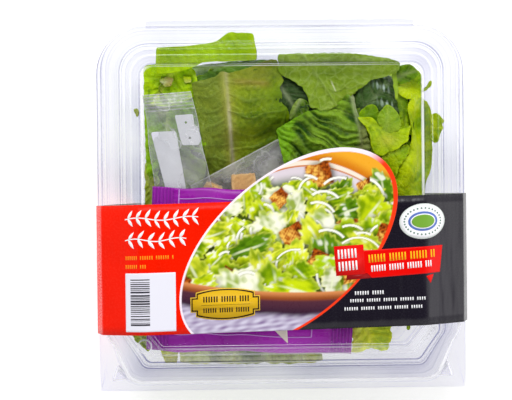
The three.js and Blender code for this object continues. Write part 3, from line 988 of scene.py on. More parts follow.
def print_label():
    """The yellow label over the picture's lower left."""
    build = Build()
    plaque(build, 0.75, 2, YELLOW_EDGE)
    plaque(build, 0.3, 3, KEYLINE)
    plaque(build, -0.35, 4, YELLOW)
    ticks(build, -40.6, -47.2, 23.4, 2.9, 5, KEYLINE, 1.3)
    block(build, -41.6, -48.7, 24.4, 0.16, 5, KEYLINE)
    ticks(build, -40.6, -52.4, 23.4, 2.3, 5, KEYLINE, 1.17)
    build.piece("print_label", [painted("label_ink")], "printed_card")


# ---- the sleeve's picture: a made-up bowl of salad, painted from simple shapes ----

SHADE = srgb(40, 44, 10)
BLADES = (srgb(196, 216, 14), srgb(164, 196, 10), srgb(222, 230, 50), srgb(92, 136, 12), srgb(240, 242, 206))
RIB = srgb(236, 242, 200)
LEAVES_PAINTED = 74
CUBE_SPACING = 17  # how near each other two painted croutons may lie, in mm
PICTURE_COLUMNS = 262
GOLDEN = 0.618  # steps of this share of a width fill it evenly without a visible order


class Painter:
    """Lays soft-edged shapes of colour on a fixed set of places."""

    def __init__(self, x, y, ground):
        self.x, self.y = x, y
        self.colour = np.array(np.broadcast_to(ground, (*x.shape, 3)), float)

    def lay(self, mask, colour):
        mask = np.clip(mask, 0, 1)[..., None]
        self.colour = self.colour * (1 - mask) + colour * mask

    def local(self, cx, cy, size, aspect, turn):
        dx, dy = self.x - cx, self.y - cy
        u = (dx * math.cos(turn) + dy * math.sin(turn)) / size
        v = (dy * math.cos(turn) - dx * math.sin(turn)) / size / aspect
        return u, v

    def shade(self, cx, cy, size, aspect, turn, depth):
        u, v = self.local(cx + 0.5, cy - 0.8, size, aspect, turn)
        self.lay(smooth(1.35, 0.75, np.hypot(u, v)) * depth, SHADE)

    def leaf(self, cx, cy, size, aspect, turn, rng, blade):
        """A crumpled, frilled leaf: folds from ripples, a light frill and a pale spine."""
        self.shade(cx, cy, size, aspect, turn, 0.6)
        u, v = self.local(cx, cy, size, aspect, turn)
        angle = np.arctan2(v, u)
        radius = np.hypot(u, v)
        edge = np.ones_like(radius)
        for lobes, depth in ((2, 0.16), (5, 0.1), (11, 0.06), (19, 0.045)):
            edge += depth * np.sin(lobes * angle + rng.uniform(0, 6.3))
        inside = smooth(0.1, -0.1, (radius - edge) * min(size, 3.0) / 2)
        share = np.clip(radius / edge, 0, 1)
        seed = int(rng.integers(9999))
        folds = np.clip(0.5 + 0.42 * ripple(u * 8, v * 5, seed, 9.0), 0, 1)
        crumple = np.clip(0.5 + 0.5 * ripple(u * 8, v * 8, seed + 1, 3.6), 0, 1)
        light = 0.72 * folds + 0.28 * crumple
        colour = mix(blade * [0.36, 0.48, 0.1], blade * [1.08, 1.06, 1.2], smooth(0.1, 0.7, light))
        frill = smooth(0.75, 1.0, share) * (0.25 + 0.5 * crumple)
        colour = mix(colour, srgb(232, 240, 90), frill)
        colour = mix(colour, srgb(252, 252, 236), smooth(0.7, 0.9, light) * 0.8)
        spine = smooth(0.13, 0.02, np.abs(v + 0.15 * np.sin(2.0 * u))) * smooth(0.9, 0.2, share)
        self.lay(inside, mix(colour, RIB, spine * 0.8))

    def cube(self, cx, cy, size, turn, rng):
        """A toasted cube: a light top and two browner sides, with crumbs."""
        self.shade(cx, cy, size * 1.2, 1.0, turn, 0.65)
        u, v = self.local(cx, cy, size, rng.uniform(0.8, 1.0), turn)
        edge = np.maximum(np.abs(u), np.abs(v)) + 0.07 * np.sin(5 * u + rng.uniform(0, 6)) * np.sin(4 * v)
        seed = int(rng.integers(9999))
        coarse, fine = ripple(self.x, self.y, seed, 3.4), ripple(self.x, self.y, seed + 1, 1.3)
        crumb = np.clip(0.5 + 0.4 * coarse + 0.35 * fine, 0, 1)
        face = mix(srgb(176, 84, 16), srgb(250, 196, 88), crumb)
        side = mix(srgb(92, 34, 6), srgb(190, 90, 20), crumb)
        self.lay(smooth(1.08, 0.94, edge), mix(face, side, smooth(0.1, 0.6, u + 0.35 * v)))

    def shred(self, cx, cy, radius, start, sweep, width):
        """A thin curved strip of cheese with its shadow."""
        dx, dy = self.x - cx, self.y - cy
        away = np.abs(np.hypot(dx, dy) - radius)
        angle = np.mod(np.arctan2(dy, dx) - start, 2 * math.pi)
        self.lay(smooth(width * 1.5, width * 0.5, away) * (angle < sweep) * 0.3, srgb(70, 80, 20))
        self.lay(smooth(width * 0.62, width * 0.38, away) * (angle < sweep), srgb(250, 250, 240))


def picture():
    """The oval picture: a bowl, drawn plainly, with its leaves, croutons and shreds scattered by
    chance, inside a border that turns from white to red."""
    x, y = head_grid(0.4, SLEEVE_FRONT + 0.02, PICTURE_COLUMNS)
    rng = np.random.default_rng(71)
    art = Painter(x, y, srgb(236, 232, 240))
    # the inside of the bowl and its banded rim at the back
    art.lay(smooth(-10, 30, y) * 0.8, srgb(214, 196, 204))
    rim = y - (20.5 - 0.0105 * (x - 12) ** 2)
    art.lay(smooth(-1.5, -1.0, rim), srgb(206, 112, 24))
    art.lay(smooth(-0.8, -0.3, rim) * smooth(2.0, 1.5, rim), srgb(246, 232, 214))
    art.lay(smooth(1.6, 2.2, rim), mix(srgb(214, 122, 22), srgb(244, 172, 44), smooth(2, 9, rim)))
    # leaves from the back to the front, with croutons and shreds among them
    art.lay(smooth(17, 9, y + 0.012 * (x - 8) ** 2), srgb(70, 96, 14))
    cubes = []
    for depth in np.linspace(0, 1, LEAVES_PAINTED):
        cy = 12.0 - 54.0 * depth + rng.uniform(-3, 3)
        cx = -50 + 110 * ((depth * (LEAVES_PAINTED - 1) * GOLDEN) % 1) + rng.uniform(-4, 4)
        size = rng.uniform(6.5, 13.0) * (0.75 + 0.35 * depth)
        blade = BLADES[int(rng.choice(5, p=[0.3, 0.2, 0.22, 0.12, 0.16]))] * rng.uniform(0.88, 1.08)
        art.leaf(cx, cy, size, rng.uniform(0.55, 0.85), rng.uniform(0, 6.3), rng, blade)
        if rng.uniform() < 0.4 and all(math.hypot(cx - a, cy - b) > CUBE_SPACING for a, b in cubes):
            cubes.append((cx, cy))
            art.cube(cx, cy + 1, rng.uniform(4.2, 6.2), rng.uniform(0, 1.5), rng)
        for _ in range(int(rng.integers(0, 3))):
            spot = (cx + rng.uniform(-6, 6), cy)
            radius, start, sweep = rng.uniform(4, 13), rng.uniform(0, 6.3), rng.uniform(0.6, 1.9)
            art.shred(*spot, radius, start, sweep, rng.uniform(0.8, 1.3))
    # the bowl's lip and shaded side, and the cloth it stands on
    lip = y - (-43.6 + 0.0016 * (x - 10) ** 2)
    art.lay(smooth(0.4, -0.4, lip), mix(srgb(150, 76, 34), srgb(222, 142, 84), smooth(-3.6, 0, lip)))
    art.lay(smooth(-3.2, -5.0, lip), mix(srgb(52, 30, 52), srgb(86, 46, 60), smooth(-12, -4, lip)))
    cloth = lip + 12.0 + 0.3 * np.sin(x * 0.25)
    weave = np.clip(0.6 + 0.3 * ripple(x, y * 2.2, 9, 5.0), 0, 1)
    art.lay(smooth(2.2, -1.6, cloth), mix(srgb(140, 118, 160), srgb(214, 208, 228), weave))
    # the border
    cos, sin = math.cos(HEAD["turn"]), math.sin(HEAD["turn"])
    u = ((x - HEAD["x"]) * cos + (y - HEAD["y"]) * sin) / HEAD["long"]
    v = ((y - HEAD["y"]) * cos - (x - HEAD["x"]) * sin) / HEAD["short"]
    radius = np.hypot(u, v)
    slope = np.hypot(u / HEAD["long"], v / HEAD["short"]) / np.maximum(radius, 1e-3)
    inset = (1 - radius) / slope
    redness = smooth(0.2, -0.1, v - 0.12 * u) * smooth(-0.9, -0.35, u)
    width = 1.05 + 0.1 * redness + 1.1 * smooth(0.2, 0.9, u)
    art.lay(smooth(width + 0.2, width - 0.2, inset), mix(srgb(252, 240, 250), STRIPE_RED, redness))
    build = Build()
    top = np.stack([x, y, np.full(x.shape, CARD_TOP + INK)], -1)
    slab(build, top, top - [0, 0, INK + 0.01], art.colour, flat=True)
    build.piece("print_picture", [painted("picture_ink", 0.3)], "printed_card")


# ---- the bags on the salad ----

# how each bag lies, how crimped its seals and how wrinkled its film is, and how cloudy its seals and
# its outer edges look
DRESSING = {
    "width": 80, "length": 104, "thickness": 7.6, "seal": 11, "at": (-15.8, -32.5, 61.4), "turn": 87,
    "lean": 0, "taper": 0, "skew": 0, "crimp": 0.22, "wrinkle": 0.6, "seed": 51, "cloud": (0.9, 0.0),
}
FORK = {
    "width": 27, "length": 62, "thickness": 3, "seal": 9, "at": (-53.0, 26.4, 59.3), "turn": 9,
    "lean": 6, "taper": 0.1, "skew": -0.085, "crimp": 0.16, "wrinkle": 1.0, "seed": 61, "cloud": (0.2, 0.35),
}
CROUTONS = {
    "width": 74, "length": 56, "thickness": 10, "seal": 5, "at": (-20.6, -7.7, 50.6), "turn": 27.5,
    "lean": 2, "taper": 0, "skew": 0, "crimp": 0.08, "wrinkle": 0.35, "seed": 81, "cloud": (0.12, 0.4),
}
SEAL_PITCH = 1.7  # from one rib of a seal to the next
SACHET_LINE = srgb(208, 150, 222)
SACHET_CREAM = srgb(232, 222, 206)


def bag_place(bag, points):
    """Moves points from a bag's own axes to where it lies."""
    x, y, z = np.moveaxis(np.asarray(points, float), -1, 0)
    y, z = turned(y, z, math.radians(bag["lean"]))
    x, y = turned(x, y, math.radians(bag["turn"]))
    return np.stack([x, y, z], -1) + bag["at"]


def on_bag(bag, u, v, side, lift=0.0):
    """A place on a bag's upper (side 1) or lower (side -1) film, for u and v from -1 to 1."""
    seed, wrinkle, free = bag["seed"], bag["wrinkle"], bag["length"] / 2 - bag["seal"]
    x = u * bag["width"] / 2 * (1 - bag["taper"] * v)
    y = v * bag["length"] / 2
    to_seal = free - np.abs(y)
    inside = np.clip(1 - to_seal / free, 0, 1)
    full = np.clip(1 - np.abs(u) ** 2.6, 0, 1) ** 0.62
    full_v = np.clip(1 - inside**2.4, 0, 1) ** 0.6
    rise = 0.22 + (bag["thickness"] / 2 - 0.3) * full * full_v
    near = np.exp(-np.clip(to_seal, 0, None) / 7.5) * (to_seal > 0)
    pleats = np.sin(x * 1.15 + 1.7 * ripple(x, y, seed, 18))
    pleats = pleats + 0.6 * np.sin(x * 2.3 + 2 * ripple(x, y, seed + 1, 15))
    slack = ripple(x, y, seed + 2, 17) * full * full_v
    rise = rise + wrinkle * (0.75 * near * pleats * full + 0.55 * slack) * side * 0.9
    ribs = bag["crimp"] * np.sin(2 * math.pi * y / SEAL_PITCH) * smooth(0.4, -0.4, to_seal)
    sway = 0.7 * ripple(x, y, seed + 5, 60) * wrinkle
    across = x + 0.3 * ripple(y, y * 0, seed + 7, 22)
    points = np.stack([across, y + bag["skew"] * x, side * rise + ribs + sway], -1)
    return bag_place(bag, points + [0, 0, lift])


def film_marks(bag, u, v):
    """Marks the sealed ends, whose ribs look cloudier than the rest of the film, and its outer edges."""
    y = v * bag["length"] / 2
    strength, rim = bag["cloud"]
    in_seal = smooth(0.5, -0.5, bag["length"] / 2 - bag["seal"] - np.abs(y))
    edge = np.maximum(smooth(0.97, 1.0, np.abs(u)), smooth(0.985, 1.0, np.abs(v)))
    return in_seal * strength * (0.4 + 0.6 * np.sin(2 * math.pi * y / SEAL_PITCH)) + rim * edge


def add_film(build, bag, across, along, place):
    u, v = np.meshgrid(across, along)
    slab(build, place(bag, u, v, 1), place(bag, u, v, -1))
    build.marks[-1] = np.tile(film_marks(bag, u, v).ravel(), 2)


def on_dressing(bag, u, v, side, lift=0.0):
    """The dressing pouch's film, its front edge pushed under the lid's front step."""
    x, y, z = np.moveaxis(on_bag(bag, u, v, side, lift), -1, 0)
    reach = smooth(-52, -74, y) * (1.5 + 1.6 * smooth(10, -60, x) + 0.4 * ripple(x, x * 0, 57, 40))
    return np.stack([x, y - reach, z - 3.2 * smooth(-62, -76, y)], -1)


def dressing_sachet():
    """The printed pouch of dressing: full in the middle, with ribbed seals at both ends."""
    build = Build()
    along = np.interp(np.linspace(0, 1, 160), [0, 0.18, 0.82, 1], [-1, -0.78, 0.78, 1])  # finer on the seals
    add_film(build, DRESSING, np.linspace(-1, 1, 100), along, on_dressing)
    build.piece("dressing_pouch", [purple_film()], "purple_film", ["dressing_sachet"])
    marks = Build()

    def ink(u, v, top, bottom, paint):
        slab(marks, on_dressing(DRESSING, u, v, 1, top), on_dressing(DRESSING, u, v, 1, bottom), paint)

    corners = [(0.87, 0.74), (0.87, -0.6), (-0.8, -0.6), (-0.8, 0.74)]
    for (u0, v0), (u1, v1) in (*zip(corners, corners[1:] + corners[:1]), ((0.985, 0.74), (0.87, 0.74))):
        t = np.linspace(0, 1, 60)[None, :]
        across = np.array([v0 - v1, u1 - u0]) / math.hypot(u1 - u0, v1 - v0) * 0.012
        s = np.array([-0.5, 0.5])[:, None]
        ink(u0 + (u1 - u0) * t + across[0] * s, v0 + (v1 - v0) * t + across[1] * s, 0.14, 0.06, SACHET_LINE)
    # a cream wedge with its point towards the front edge
    across, down = np.meshgrid(np.linspace(0, 1, 8), np.linspace(0, 1, 14))
    ink(-0.575 - 0.3 * down, -0.346 + 0.25 * across * (1 - down) - 0.03 * down, 0.16, 0.04, SACHET_CREAM)
    marks.piece("dressing_print", [painted("sachet_ink", 0.3)], "purple_film")


def flat_shape(name, outline, thickness, material, at, holes=(), bevel=0.25):
    """A flat moulded piece from an outline with round holes, its edges rounded."""
    plate = bpy.data.curves.new(name, "CURVE")
    plate.dimensions = "2D"
    plate.fill_mode = "BOTH"
    plate.extrude = (thickness / 2 - bevel) * MM
    plate.bevel_depth = bevel * MM
    plate.bevel_resolution = 3
    for ring in (outline, *(arc(*hole, 0, 2 * math.pi, 20)[:-1] for hole in holes)):
        spline = plate.splines.new("POLY")
        spline.points.add(len(ring) - 1)
        spline.use_cyclic_u = True
        for point, (px, py) in zip(spline.points, ring):
            point.co = (px * MM, py * MM, 0, 1)
    made = bpy.data.objects.new(name + "_curve", plate)
    mesh = bpy.data.meshes.new_from_object(made)
    mesh.name = name
    bpy.data.objects.remove(made)
    points = at(mesh_points(mesh) / MM) * MM
    mesh.vertices.foreach_set("co", points.ravel())
    mesh.materials.clear()
    place_piece(name, mesh, [material])


def mesh_points(mesh):
    points = np.zeros(len(mesh.vertices) * 3)
    mesh.vertices.foreach_get("co", points)
    return points.reshape(-1, 3)


def fork_sachet():
    """A flat clear sachet with a ribbed seal, and the parts of a folding fork in it."""
    build = Build()
    add_film(build, FORK, np.linspace(-1, 1, 56), np.linspace(-1, 1, 130), on_bag)
    film = clear_film("fork_film", (0.94, 0.95, 0.93), srgb(238, 238, 238), 0.19, 0.3)
    build.piece("fork_film_bag", [film], "clear_film", ["fork_sachet"])
    turn = math.radians(FORK["turn"])
    lean = math.radians(FORK["lean"])

    def at(lift):
        def place(points):
            dx, dy = points[:, 0] + 51.2, points[:, 1] - FORK["at"][1]
            down = dy * math.cos(turn) - dx * math.sin(turn)
            z = FORK["at"][2] + down * math.tan(lean) + lift + points[:, 2]
            return np.column_stack([points[:, :2], z])

        return place

    plastic = fork_plastic()
    handle = [(-65.9, 37.2), (-58.9, 8.5), (-57.6, -1.0), (-48.6, -1.0), (-49.3, 9.8), (-53.8, 37.6)]
    flat_shape("fork_handle", rounded_polygon(handle, 1.0), 1.3, plastic, at(0.3))
    joint = [
        (-53.9, 45.6), (-51.2, 33.8), (-50.2, 30.9), (-42.4, 30.9), (-40.9, 33.4), (-42.4, 39.6),
        (-44.4, 40.0), (-45.1, 46.2),
    ]
    holes = [(-48.5, 42.2, 0.8), (-46.6, 34.4, 0.8)]
    flat_shape("fork_joint", rounded_polygon(joint, 0.7), 1.0, plastic, at(-0.7), holes, 0.2)


def crouton(build, centre, size, turn, tip, rng):
    """A cube of toasted bread: a rounded, pitted block."""
    steps = 15
    a, b = np.meshgrid(*[np.linspace(-1, 1, steps)] * 2)
    seed = int(rng.integers(1, 99999))
    stretch = rng.uniform(0.85, 1.1, 3)
    tan = mix(srgb(214, 170, 104), srgb(236, 200, 140), rng.uniform())
    for sign in (-1, 1):
        for axis in range(3):
            cube = np.stack(np.roll([a, b, np.full(a.shape, sign)], axis, 0), -1)
            ball = cube / np.linalg.norm(cube, axis=-1, keepdims=True)
            spot = (cube * 0.82 + ball * 0.24) * size / 2 * stretch
            x, y, z = np.moveaxis(spot, -1, 0)
            rough = ripple(x * 1.1 + z, y * 1.2 - z * 0.7, seed, 2.6)
            pits = ripple(x - z * 0.8, y + z, seed + 1, 1.5)
            x, y, z = np.moveaxis(spot + ball * (0.22 * rough - 0.3 * np.clip(pits, 0, 1))[..., None], -1, 0)
            x, y = turned(x, y, turn)
            y, z = turned(y, z, tip)
            crust = smooth(0.2, 0.8, 0.5 + 0.4 * rough + (0.4 if axis == 0 and sign > 0 else -0.2))
            edge = smooth(0.75, 1.0, np.maximum(np.abs(a), np.abs(b)))
            paint = mix(mix(tan, srgb(190, 130, 66), crust * 0.5), srgb(240, 206, 150), edge * 0.5)
            order = grid_faces(steps, steps, flip=(sign < 0))
            build.add(np.stack([x, y, z], -1) + centre, [order], paint.reshape(-1, 3))


def crouton_pouch():
    build = Build()
    add_film(build, CROUTONS, np.linspace(-1, 1, 80), np.linspace(-1, 1, 70), on_bag)
    film = clear_film("pouch_film", (0.93, 0.93, 0.92), srgb(226, 226, 222), 0.26, 0.2)
    build.piece("crouton_film_bag", [film], "clear_film", ["crouton_pouch"])
    bread = Build()
    rng = np.random.default_rng(5)
    for u, v, size in (
        (-0.2, 0.7, 11.5), (0.24, 0.52, 12.5), (0.62, 0.3, 10.0), (-0.5, 0.42, 10.5), (0.04, 0.16, 11.0),
        (0.5, -0.12, 10.0), (-0.62, -0.02, 9.6), (-0.26, -0.24, 10.6), (0.2, -0.34, 10.2),
        (0.6, -0.56, 9.2), (-0.2, -0.68, 9.6), (-0.64, -0.54, 9.0),
    ):
        spot = bag_place(CROUTONS, [u * CROUTONS["width"] / 2, v * CROUTONS["length"] / 2, 0.0])
        crouton(bread, spot, size * 0.9, rng.uniform(0, 1.5), rng.uniform(-0.3, 0.3), rng)
    bread.piece("croutons", [toast()], "clear_film")


# ---- the room inside the pack ----

# the pack's inner side: heights over the parting plane and how far out the walls are there, then
# how far out a place lies and how high the lid is over it
WALL_LEVELS = np.array([-46.2, -45, -42, -9.4, -8, -6.6, -1.4, 1.5, 8.7, 10.4])
WALL_OUTS = np.array([1.5, 4.4, 5.8, 15.2, 17, 19.2, 20.4, 20.2, 19.1, 17.0])
CEILING_OUTS = np.array([-1.9, 0.3, 4.0, 7.7, 10, 12.4, 18, 19.3])
CEILING_LEVELS = np.array([0.0, -0.4, -4.1, -5.0, -6.1, -7.5, -8.6, -11.0]) + PANEL_Z - SHEET
EYE = np.array([-29.6, 12.3, 747.55])  # where the camera stands
HEAP_SIDES = ((-69.3, 72.5), (-74.5, 72.5))  # how far the leaves reach, as seen from above
SIDES_AT = 60  # the height where they do
HEAP_STEP = 4.0  # between the places where the heap's height is known


def outset(x, y):
    """How far outside the raised panel's outline a place in the plan lies."""
    ax = np.abs(x)
    side = np.maximum(ax, np.abs(y)) - PANEL
    chamfer = (ax - y - 2 * PANEL + FRONT_LEG) / math.sqrt(2)
    dx, dy = ax - PANEL + REAR_ROUND, y - PANEL + REAR_ROUND
    drift = 1 - REAR_GROWTH
    a = 2 * drift**2 - REAR_GROWTH**2
    b = -(2 * drift * (dx + dy) + 2 * REAR_ROUND * REAR_GROWTH)
    c = dx**2 + dy**2 - REAR_ROUND**2
    root = np.sqrt(np.clip(b * b - 4 * a * c, 0, None))
    rear = (-b - root) / (2 * a)
    round_part = (dx > 0) & (dy > 0) & (c > 0)
    return np.where(round_part, np.maximum(rear, side), np.where(y < 0, np.maximum(side, chamfer), side))


def keep_inside(points, margin, within=False):
    """Presses points back into the pack, as its lid and walls press the leaves. With `within`, the
    points stay in the heap's own outline too, as it looks from above."""
    x, y, z = points.T.copy()
    if within:
        spread = (EYE[2] - z) / (EYE[2] - SIDES_AT)
        x, y = (
            np.clip(at, eye + (low + margin - eye) * spread, eye + (high - margin - eye) * spread)
            for at, eye, (low, high) in zip((x, y), EYE, HEAP_SIDES)
        )
    for _ in range(2):
        out = outset(x, y)
        wall = np.interp(z - PART_Z, WALL_LEVELS, WALL_OUTS) - SHEET - margin
        shrink = np.where(out > wall, (PANEL + wall) / (PANEL + out), 1.0)
        x, y = x * shrink, y * shrink
        ceiling = np.interp(outset(x, y), CEILING_OUTS, CEILING_LEVELS) + PART_Z - margin
        z = np.minimum(z, ceiling)
    floor = TRAY_LOW[2] + SHEET + 1.7 + margin
    return np.stack([x, y, np.maximum(z, floor)], -1)


def heap_heights():
    """The CAD heap's top on a grid of places, softened, and lowered step by step past its edge."""
    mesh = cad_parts["salad_heap"].data
    tree = BVHTree.FromPolygons([v.co[:] for v in mesh.vertices], [p.vertices[:] for p in mesh.polygons])
    places = np.arange(-92, 93, HEAP_STEP)
    heights = np.full((len(places), len(places)), np.nan)
    for i, y in enumerate(places):
        for j, x in enumerate(places):
            hit = tree.ray_cast((x * MM, y * MM, 0.2), (0, 0, -1))[0]
            if hit is not None:
                heights[i, j] = hit.z / MM

    def around(values):
        return np.stack([np.roll(values, shift, axis) for shift in (-1, 1) for axis in (0, 1)])

    for _ in range(40):
        near = around(heights)
        known = ~np.isnan(near)
        near = np.where(known, near, 0).sum(0) / np.maximum(known.sum(0), 1) - 2.5
        heights = np.where(np.isnan(heights) & known.any(0), near, heights)
    for _ in range(2):
        heights = 0.5 * heights + 0.5 * around(heights).mean(0)
    return places, heights


HEAP_PLACES, HEAP_HEIGHTS = heap_heights()


def heap_at(x, y):
    last = len(HEAP_PLACES) - 1.001
    u, v = (np.clip((np.asarray(at, float) - HEAP_PLACES[0]) / HEAP_STEP, 0, last) for at in (x, y))
    j, i = u.astype(int), v.astype(int)
    u, v = u - j, v - i
    low = HEAP_HEIGHTS[i, j] * (1 - u) + HEAP_HEIGHTS[i, j + 1] * u
    high = HEAP_HEIGHTS[i + 1, j] * (1 - u) + HEAP_HEIGHTS[i + 1, j + 1] * u
    return low * (1 - v) + high * v


# ---- lettuce ----

FINE_RINGS = 12  # above this many rings, a leaf's underside is made with half of them
LEAF_THICKNESS = 0.4
LEAF_LOOKS = {
    # the blade, its deep tone, painted into the hollows as painted shade, veins, and the edge
    "romaine": ((132, 178, 0), (70, 118, 0), (172, 194, 70), (146, 190, 10)),
    "olive": ((142, 164, 22), (84, 116, 0), (186, 190, 96), (140, 164, 30)),
    "bright": ((160, 202, 0), (112, 160, 0), (182, 212, 30), (160, 200, 0)),
    "under": ((146, 176, 46), (116, 148, 16), (176, 200, 104), (134, 168, 26)),
    "dark": ((60, 92, 34), (16, 40, 8), (150, 172, 110), (70, 104, 24)),
    "mid": ((126, 164, 36), (34, 76, 0), (156, 176, 96), (116, 166, 20)),
    "lime": ((176, 212, 0), (112, 160, 0), (196, 220, 40), (186, 218, 0)),
    "pale": ((160, 192, 44), (118, 164, 8), (198, 216, 112), (172, 202, 50)),
    "yellow": ((202, 224, 0), (142, 188, 0), (214, 228, 40), (206, 228, 0)),
    "heart": ((206, 220, 80), (172, 196, 34), (230, 236, 166), (198, 216, 60)),
}
RIB_TONE = (0.72, 0.74, 0.55)


def cells(x, y, size, seed):
    """How far each place is from the border between puckered cells, 0 on it and about 1 inside."""
    gx, gy = x / size, y / size
    ix, iy = np.floor(gx).astype(int), np.floor(gy).astype(int)
    first = np.full(x.shape, 9.0)
    second = np.full(x.shape, 9.0)
    for ox in (-1, 0, 1):
        for oy in (-1, 0, 1):
            cx, cy = ix + ox, iy + oy
            h = (cx * 374761393 + cy * 668265263 + seed * 974634777) & 0x7FFFFFFF
            h = ((h ^ (h >> 13)) * 1274126177) & 0x7FFFFFFF
            away = np.hypot(gx - cx - (h & 1023) / 1023, gy - cy - ((h >> 10) & 1023) / 1023)
            second = np.minimum(second, np.maximum(first, away))
            first = np.minimum(first, away)
    return np.clip((second - first) * 1.7, 0, 1)


def around_outline(corners, count, reach):
    """Evenly spaced points on a closed outline, its corners rounded over `reach` mm at most."""
    corners = np.asarray(corners, float)
    before, after = np.roll(corners, 1, 0) - corners, np.roll(corners, -1, 0) - corners
    start, end = (
        (corners + step * np.minimum(reach / lengths(step), 0.45)[:, None])[:, None]
        for step in (before, after)
    )
    t = np.linspace(0, 1, 6)[None, :, None]
    points = curve(start, corners[:, None], end, t).reshape(-1, 2)
    closed = np.concatenate([points, points[:1]])
    run = np.concatenate([[0], np.cumsum(lengths(np.diff(closed, axis=0)))])
    at = np.linspace(0, run[-1], count, endpoint=False)
    return np.stack([np.interp(at, run, closed[:, 0]), np.interp(at, run, closed[:, 1])], 1)


def leaf(
    build, corners, rib, look, seed, place, size, crinkle=0.8, bubbles=0.3, folds=0.6, ruffle=0.0, jag=0.35,
    spacing=7.0, lean=0.9, cell=4.0, streaks=0.6, veining=0.35, netting=0.12, rib_width=1.4, rib_rise=0.8,
    rib_show=0.75, rounding=3.0, tint=None, back=False, margin=0.6, within=False, contrast=1.0,
):
    """One leaf or torn piece of leaf: a thin closed sheet over a flat outline, with a midrib, side
    veins, puckered ground between them and a wavy edge. `place` carries it from the flat to the pack.

    Heights in mm: crinkle between side veins, bubbles of the cells, folds of the whole blade, ruffle
    of the edge, jag of the outline and the rib's rise. Side veins lie `spacing` apart and swing
    forward by `lean`; `cell` is the size of the puckered cells and `rounding` that of the corners.
    From 0 to 1: streaks, veining, netting and rib_show say how much the puckers, side veins, cell
    borders and midrib show. `contrast` spreads the blade's tones and painted shade; `tint` changes them last.
    `back` turns the leaf wrong side up; `margin` and `within` are those of keep_inside."""
    rng = np.random.default_rng(seed)
    blade, deep, vein, rim_tone = (srgb(*tone) for tone in LEAF_LOOKS[look])
    around, rings = size
    edge = around_outline(corners, around, rounding)
    centre = edge.mean(0)
    outward = (edge - centre) / lengths(edge - centre)[:, None]
    nibble = 0.6 * ripple(*edge.T, seed + 1, 8) + 0.6 * ripple(*edge.T, seed + 2, 3)
    edge = edge + outward * (jag * nibble)[:, None]
    share = (np.arange(1, rings + 1) / rings) ** 0.85
    flat = centre + share[:, None, None] * (edge - centre)[None]
    x, y = np.concatenate([centre[None], flat.reshape(-1, 2)]).T
    rim = np.concatenate([[0.0], np.repeat(share, around)])
    turn = np.concatenate([[0.0], np.tile(np.linspace(0, 2 * math.pi, around, endpoint=False), rings)])

    base, tip = np.array(rib[0], float), np.array(rib[1], float)
    span = np.linalg.norm(tip - base)
    axis = (tip - base) / span
    along = (x - base[0]) * axis[0] + (y - base[1]) * axis[1]
    across = (x - base[0]) * -axis[1] + (y - base[1]) * axis[0] + 0.5 * ripple(along, along * 0, seed + 3, 40)
    taper = np.clip(1.15 - np.clip(along, 0, None) / span * 0.7, 0.3, 1.2)
    midrib = hump(across, rib_width * taper) * smooth(span * 1.08, span * 0.9, along)
    away = np.abs(across)
    phase = (along - lean * away + 0.012 * away**2) / spacing + np.where(across > 0, 0.0, 0.45)
    phase = phase + 0.25 * ripple(x, y, seed + 4, 22)
    gap = phase - np.floor(phase)
    veins = hump(np.minimum(gap, 1 - gap) * spacing, 0.5) * (0.35 + 0.65 * np.exp(-away / (spacing * 4)))
    veins = veins * smooth(0.2, 1.5, away)
    pillow = np.sin(math.pi * gap) ** 0.8
    # wrinkles drawn out along the side veins
    wrinkle = ripple(phase * spacing, away * 0.4 + along * 0.1, seed + 5, 7.5)
    crests = 1 - 2 * np.minimum(wrinkle**2 * 1.4, 1)
    net = cells(x + 0.7 * ripple(x, y, seed, 6), y + 0.7 * ripple(y, x, seed + 7, 6), cell, seed % 97)
    fine = ripple(x, y, seed + 6, 3.0, 9)
    bends = ripple(x, y, seed + 9, 18)
    ground = (1 - midrib) * (1 - 0.8 * veins)
    height = crinkle * (0.45 * pillow + 0.5 * streaks * crests + 0.14 * fine) * ground
    height = height + bubbles * net * ground
    height = height - 0.4 * crinkle * veins + folds * bends
    height = height * (-1 if back else 1) + (rib_rise if back else -0.35 * rib_rise) * midrib
    waves = np.sin(turn * int(rng.integers(7, 11)) + rng.uniform(0, 6))
    waves = waves + 0.6 * np.sin(turn * int(rng.integers(13, 19)) + 1)
    height += ruffle * smooth(0.45, 1.0, rim) * waves
    half = LEAF_THICKNESS / 2 + 0.5 * rib_rise * midrib

    # painted shade and light: where the relief rises (domes between the veins, wrinkle crests, folds, cells,
    # the frilled edge's waves), the blade's lighter tone is painted; where it sinks, the deep tone is painted
    tone = 0.72 - 0.3 * pillow - 0.26 * streaks * crests
    tone = tone - 0.16 * bends * min(1.2, folds) - 0.15 * net * bubbles
    tone = tone + 0.24 * ripple(x, y, seed + 21, 22) + 0.1 * fine
    tone = tone - 0.12 * ruffle * waves * smooth(0.5, 1.0, rim)
    paint = mix(blade, deep, np.clip(0.5 + (tone - 0.55) * contrast, 0, 1))
    paint = mix(paint, rim_tone, smooth(0.86, 1.0, rim) * 0.6)
    paint = mix(paint, vein, netting * smooth(0.4, 0.05, net))
    paint = mix(paint, vein, veins * veining)
    paint = mix(paint, mix(vein, RIB_TONE, 0.3), midrib * rib_show)
    if tint is not None:
        paint = tint(x, y, paint)
    paint = paint * rng.uniform(0.94, 1.06)

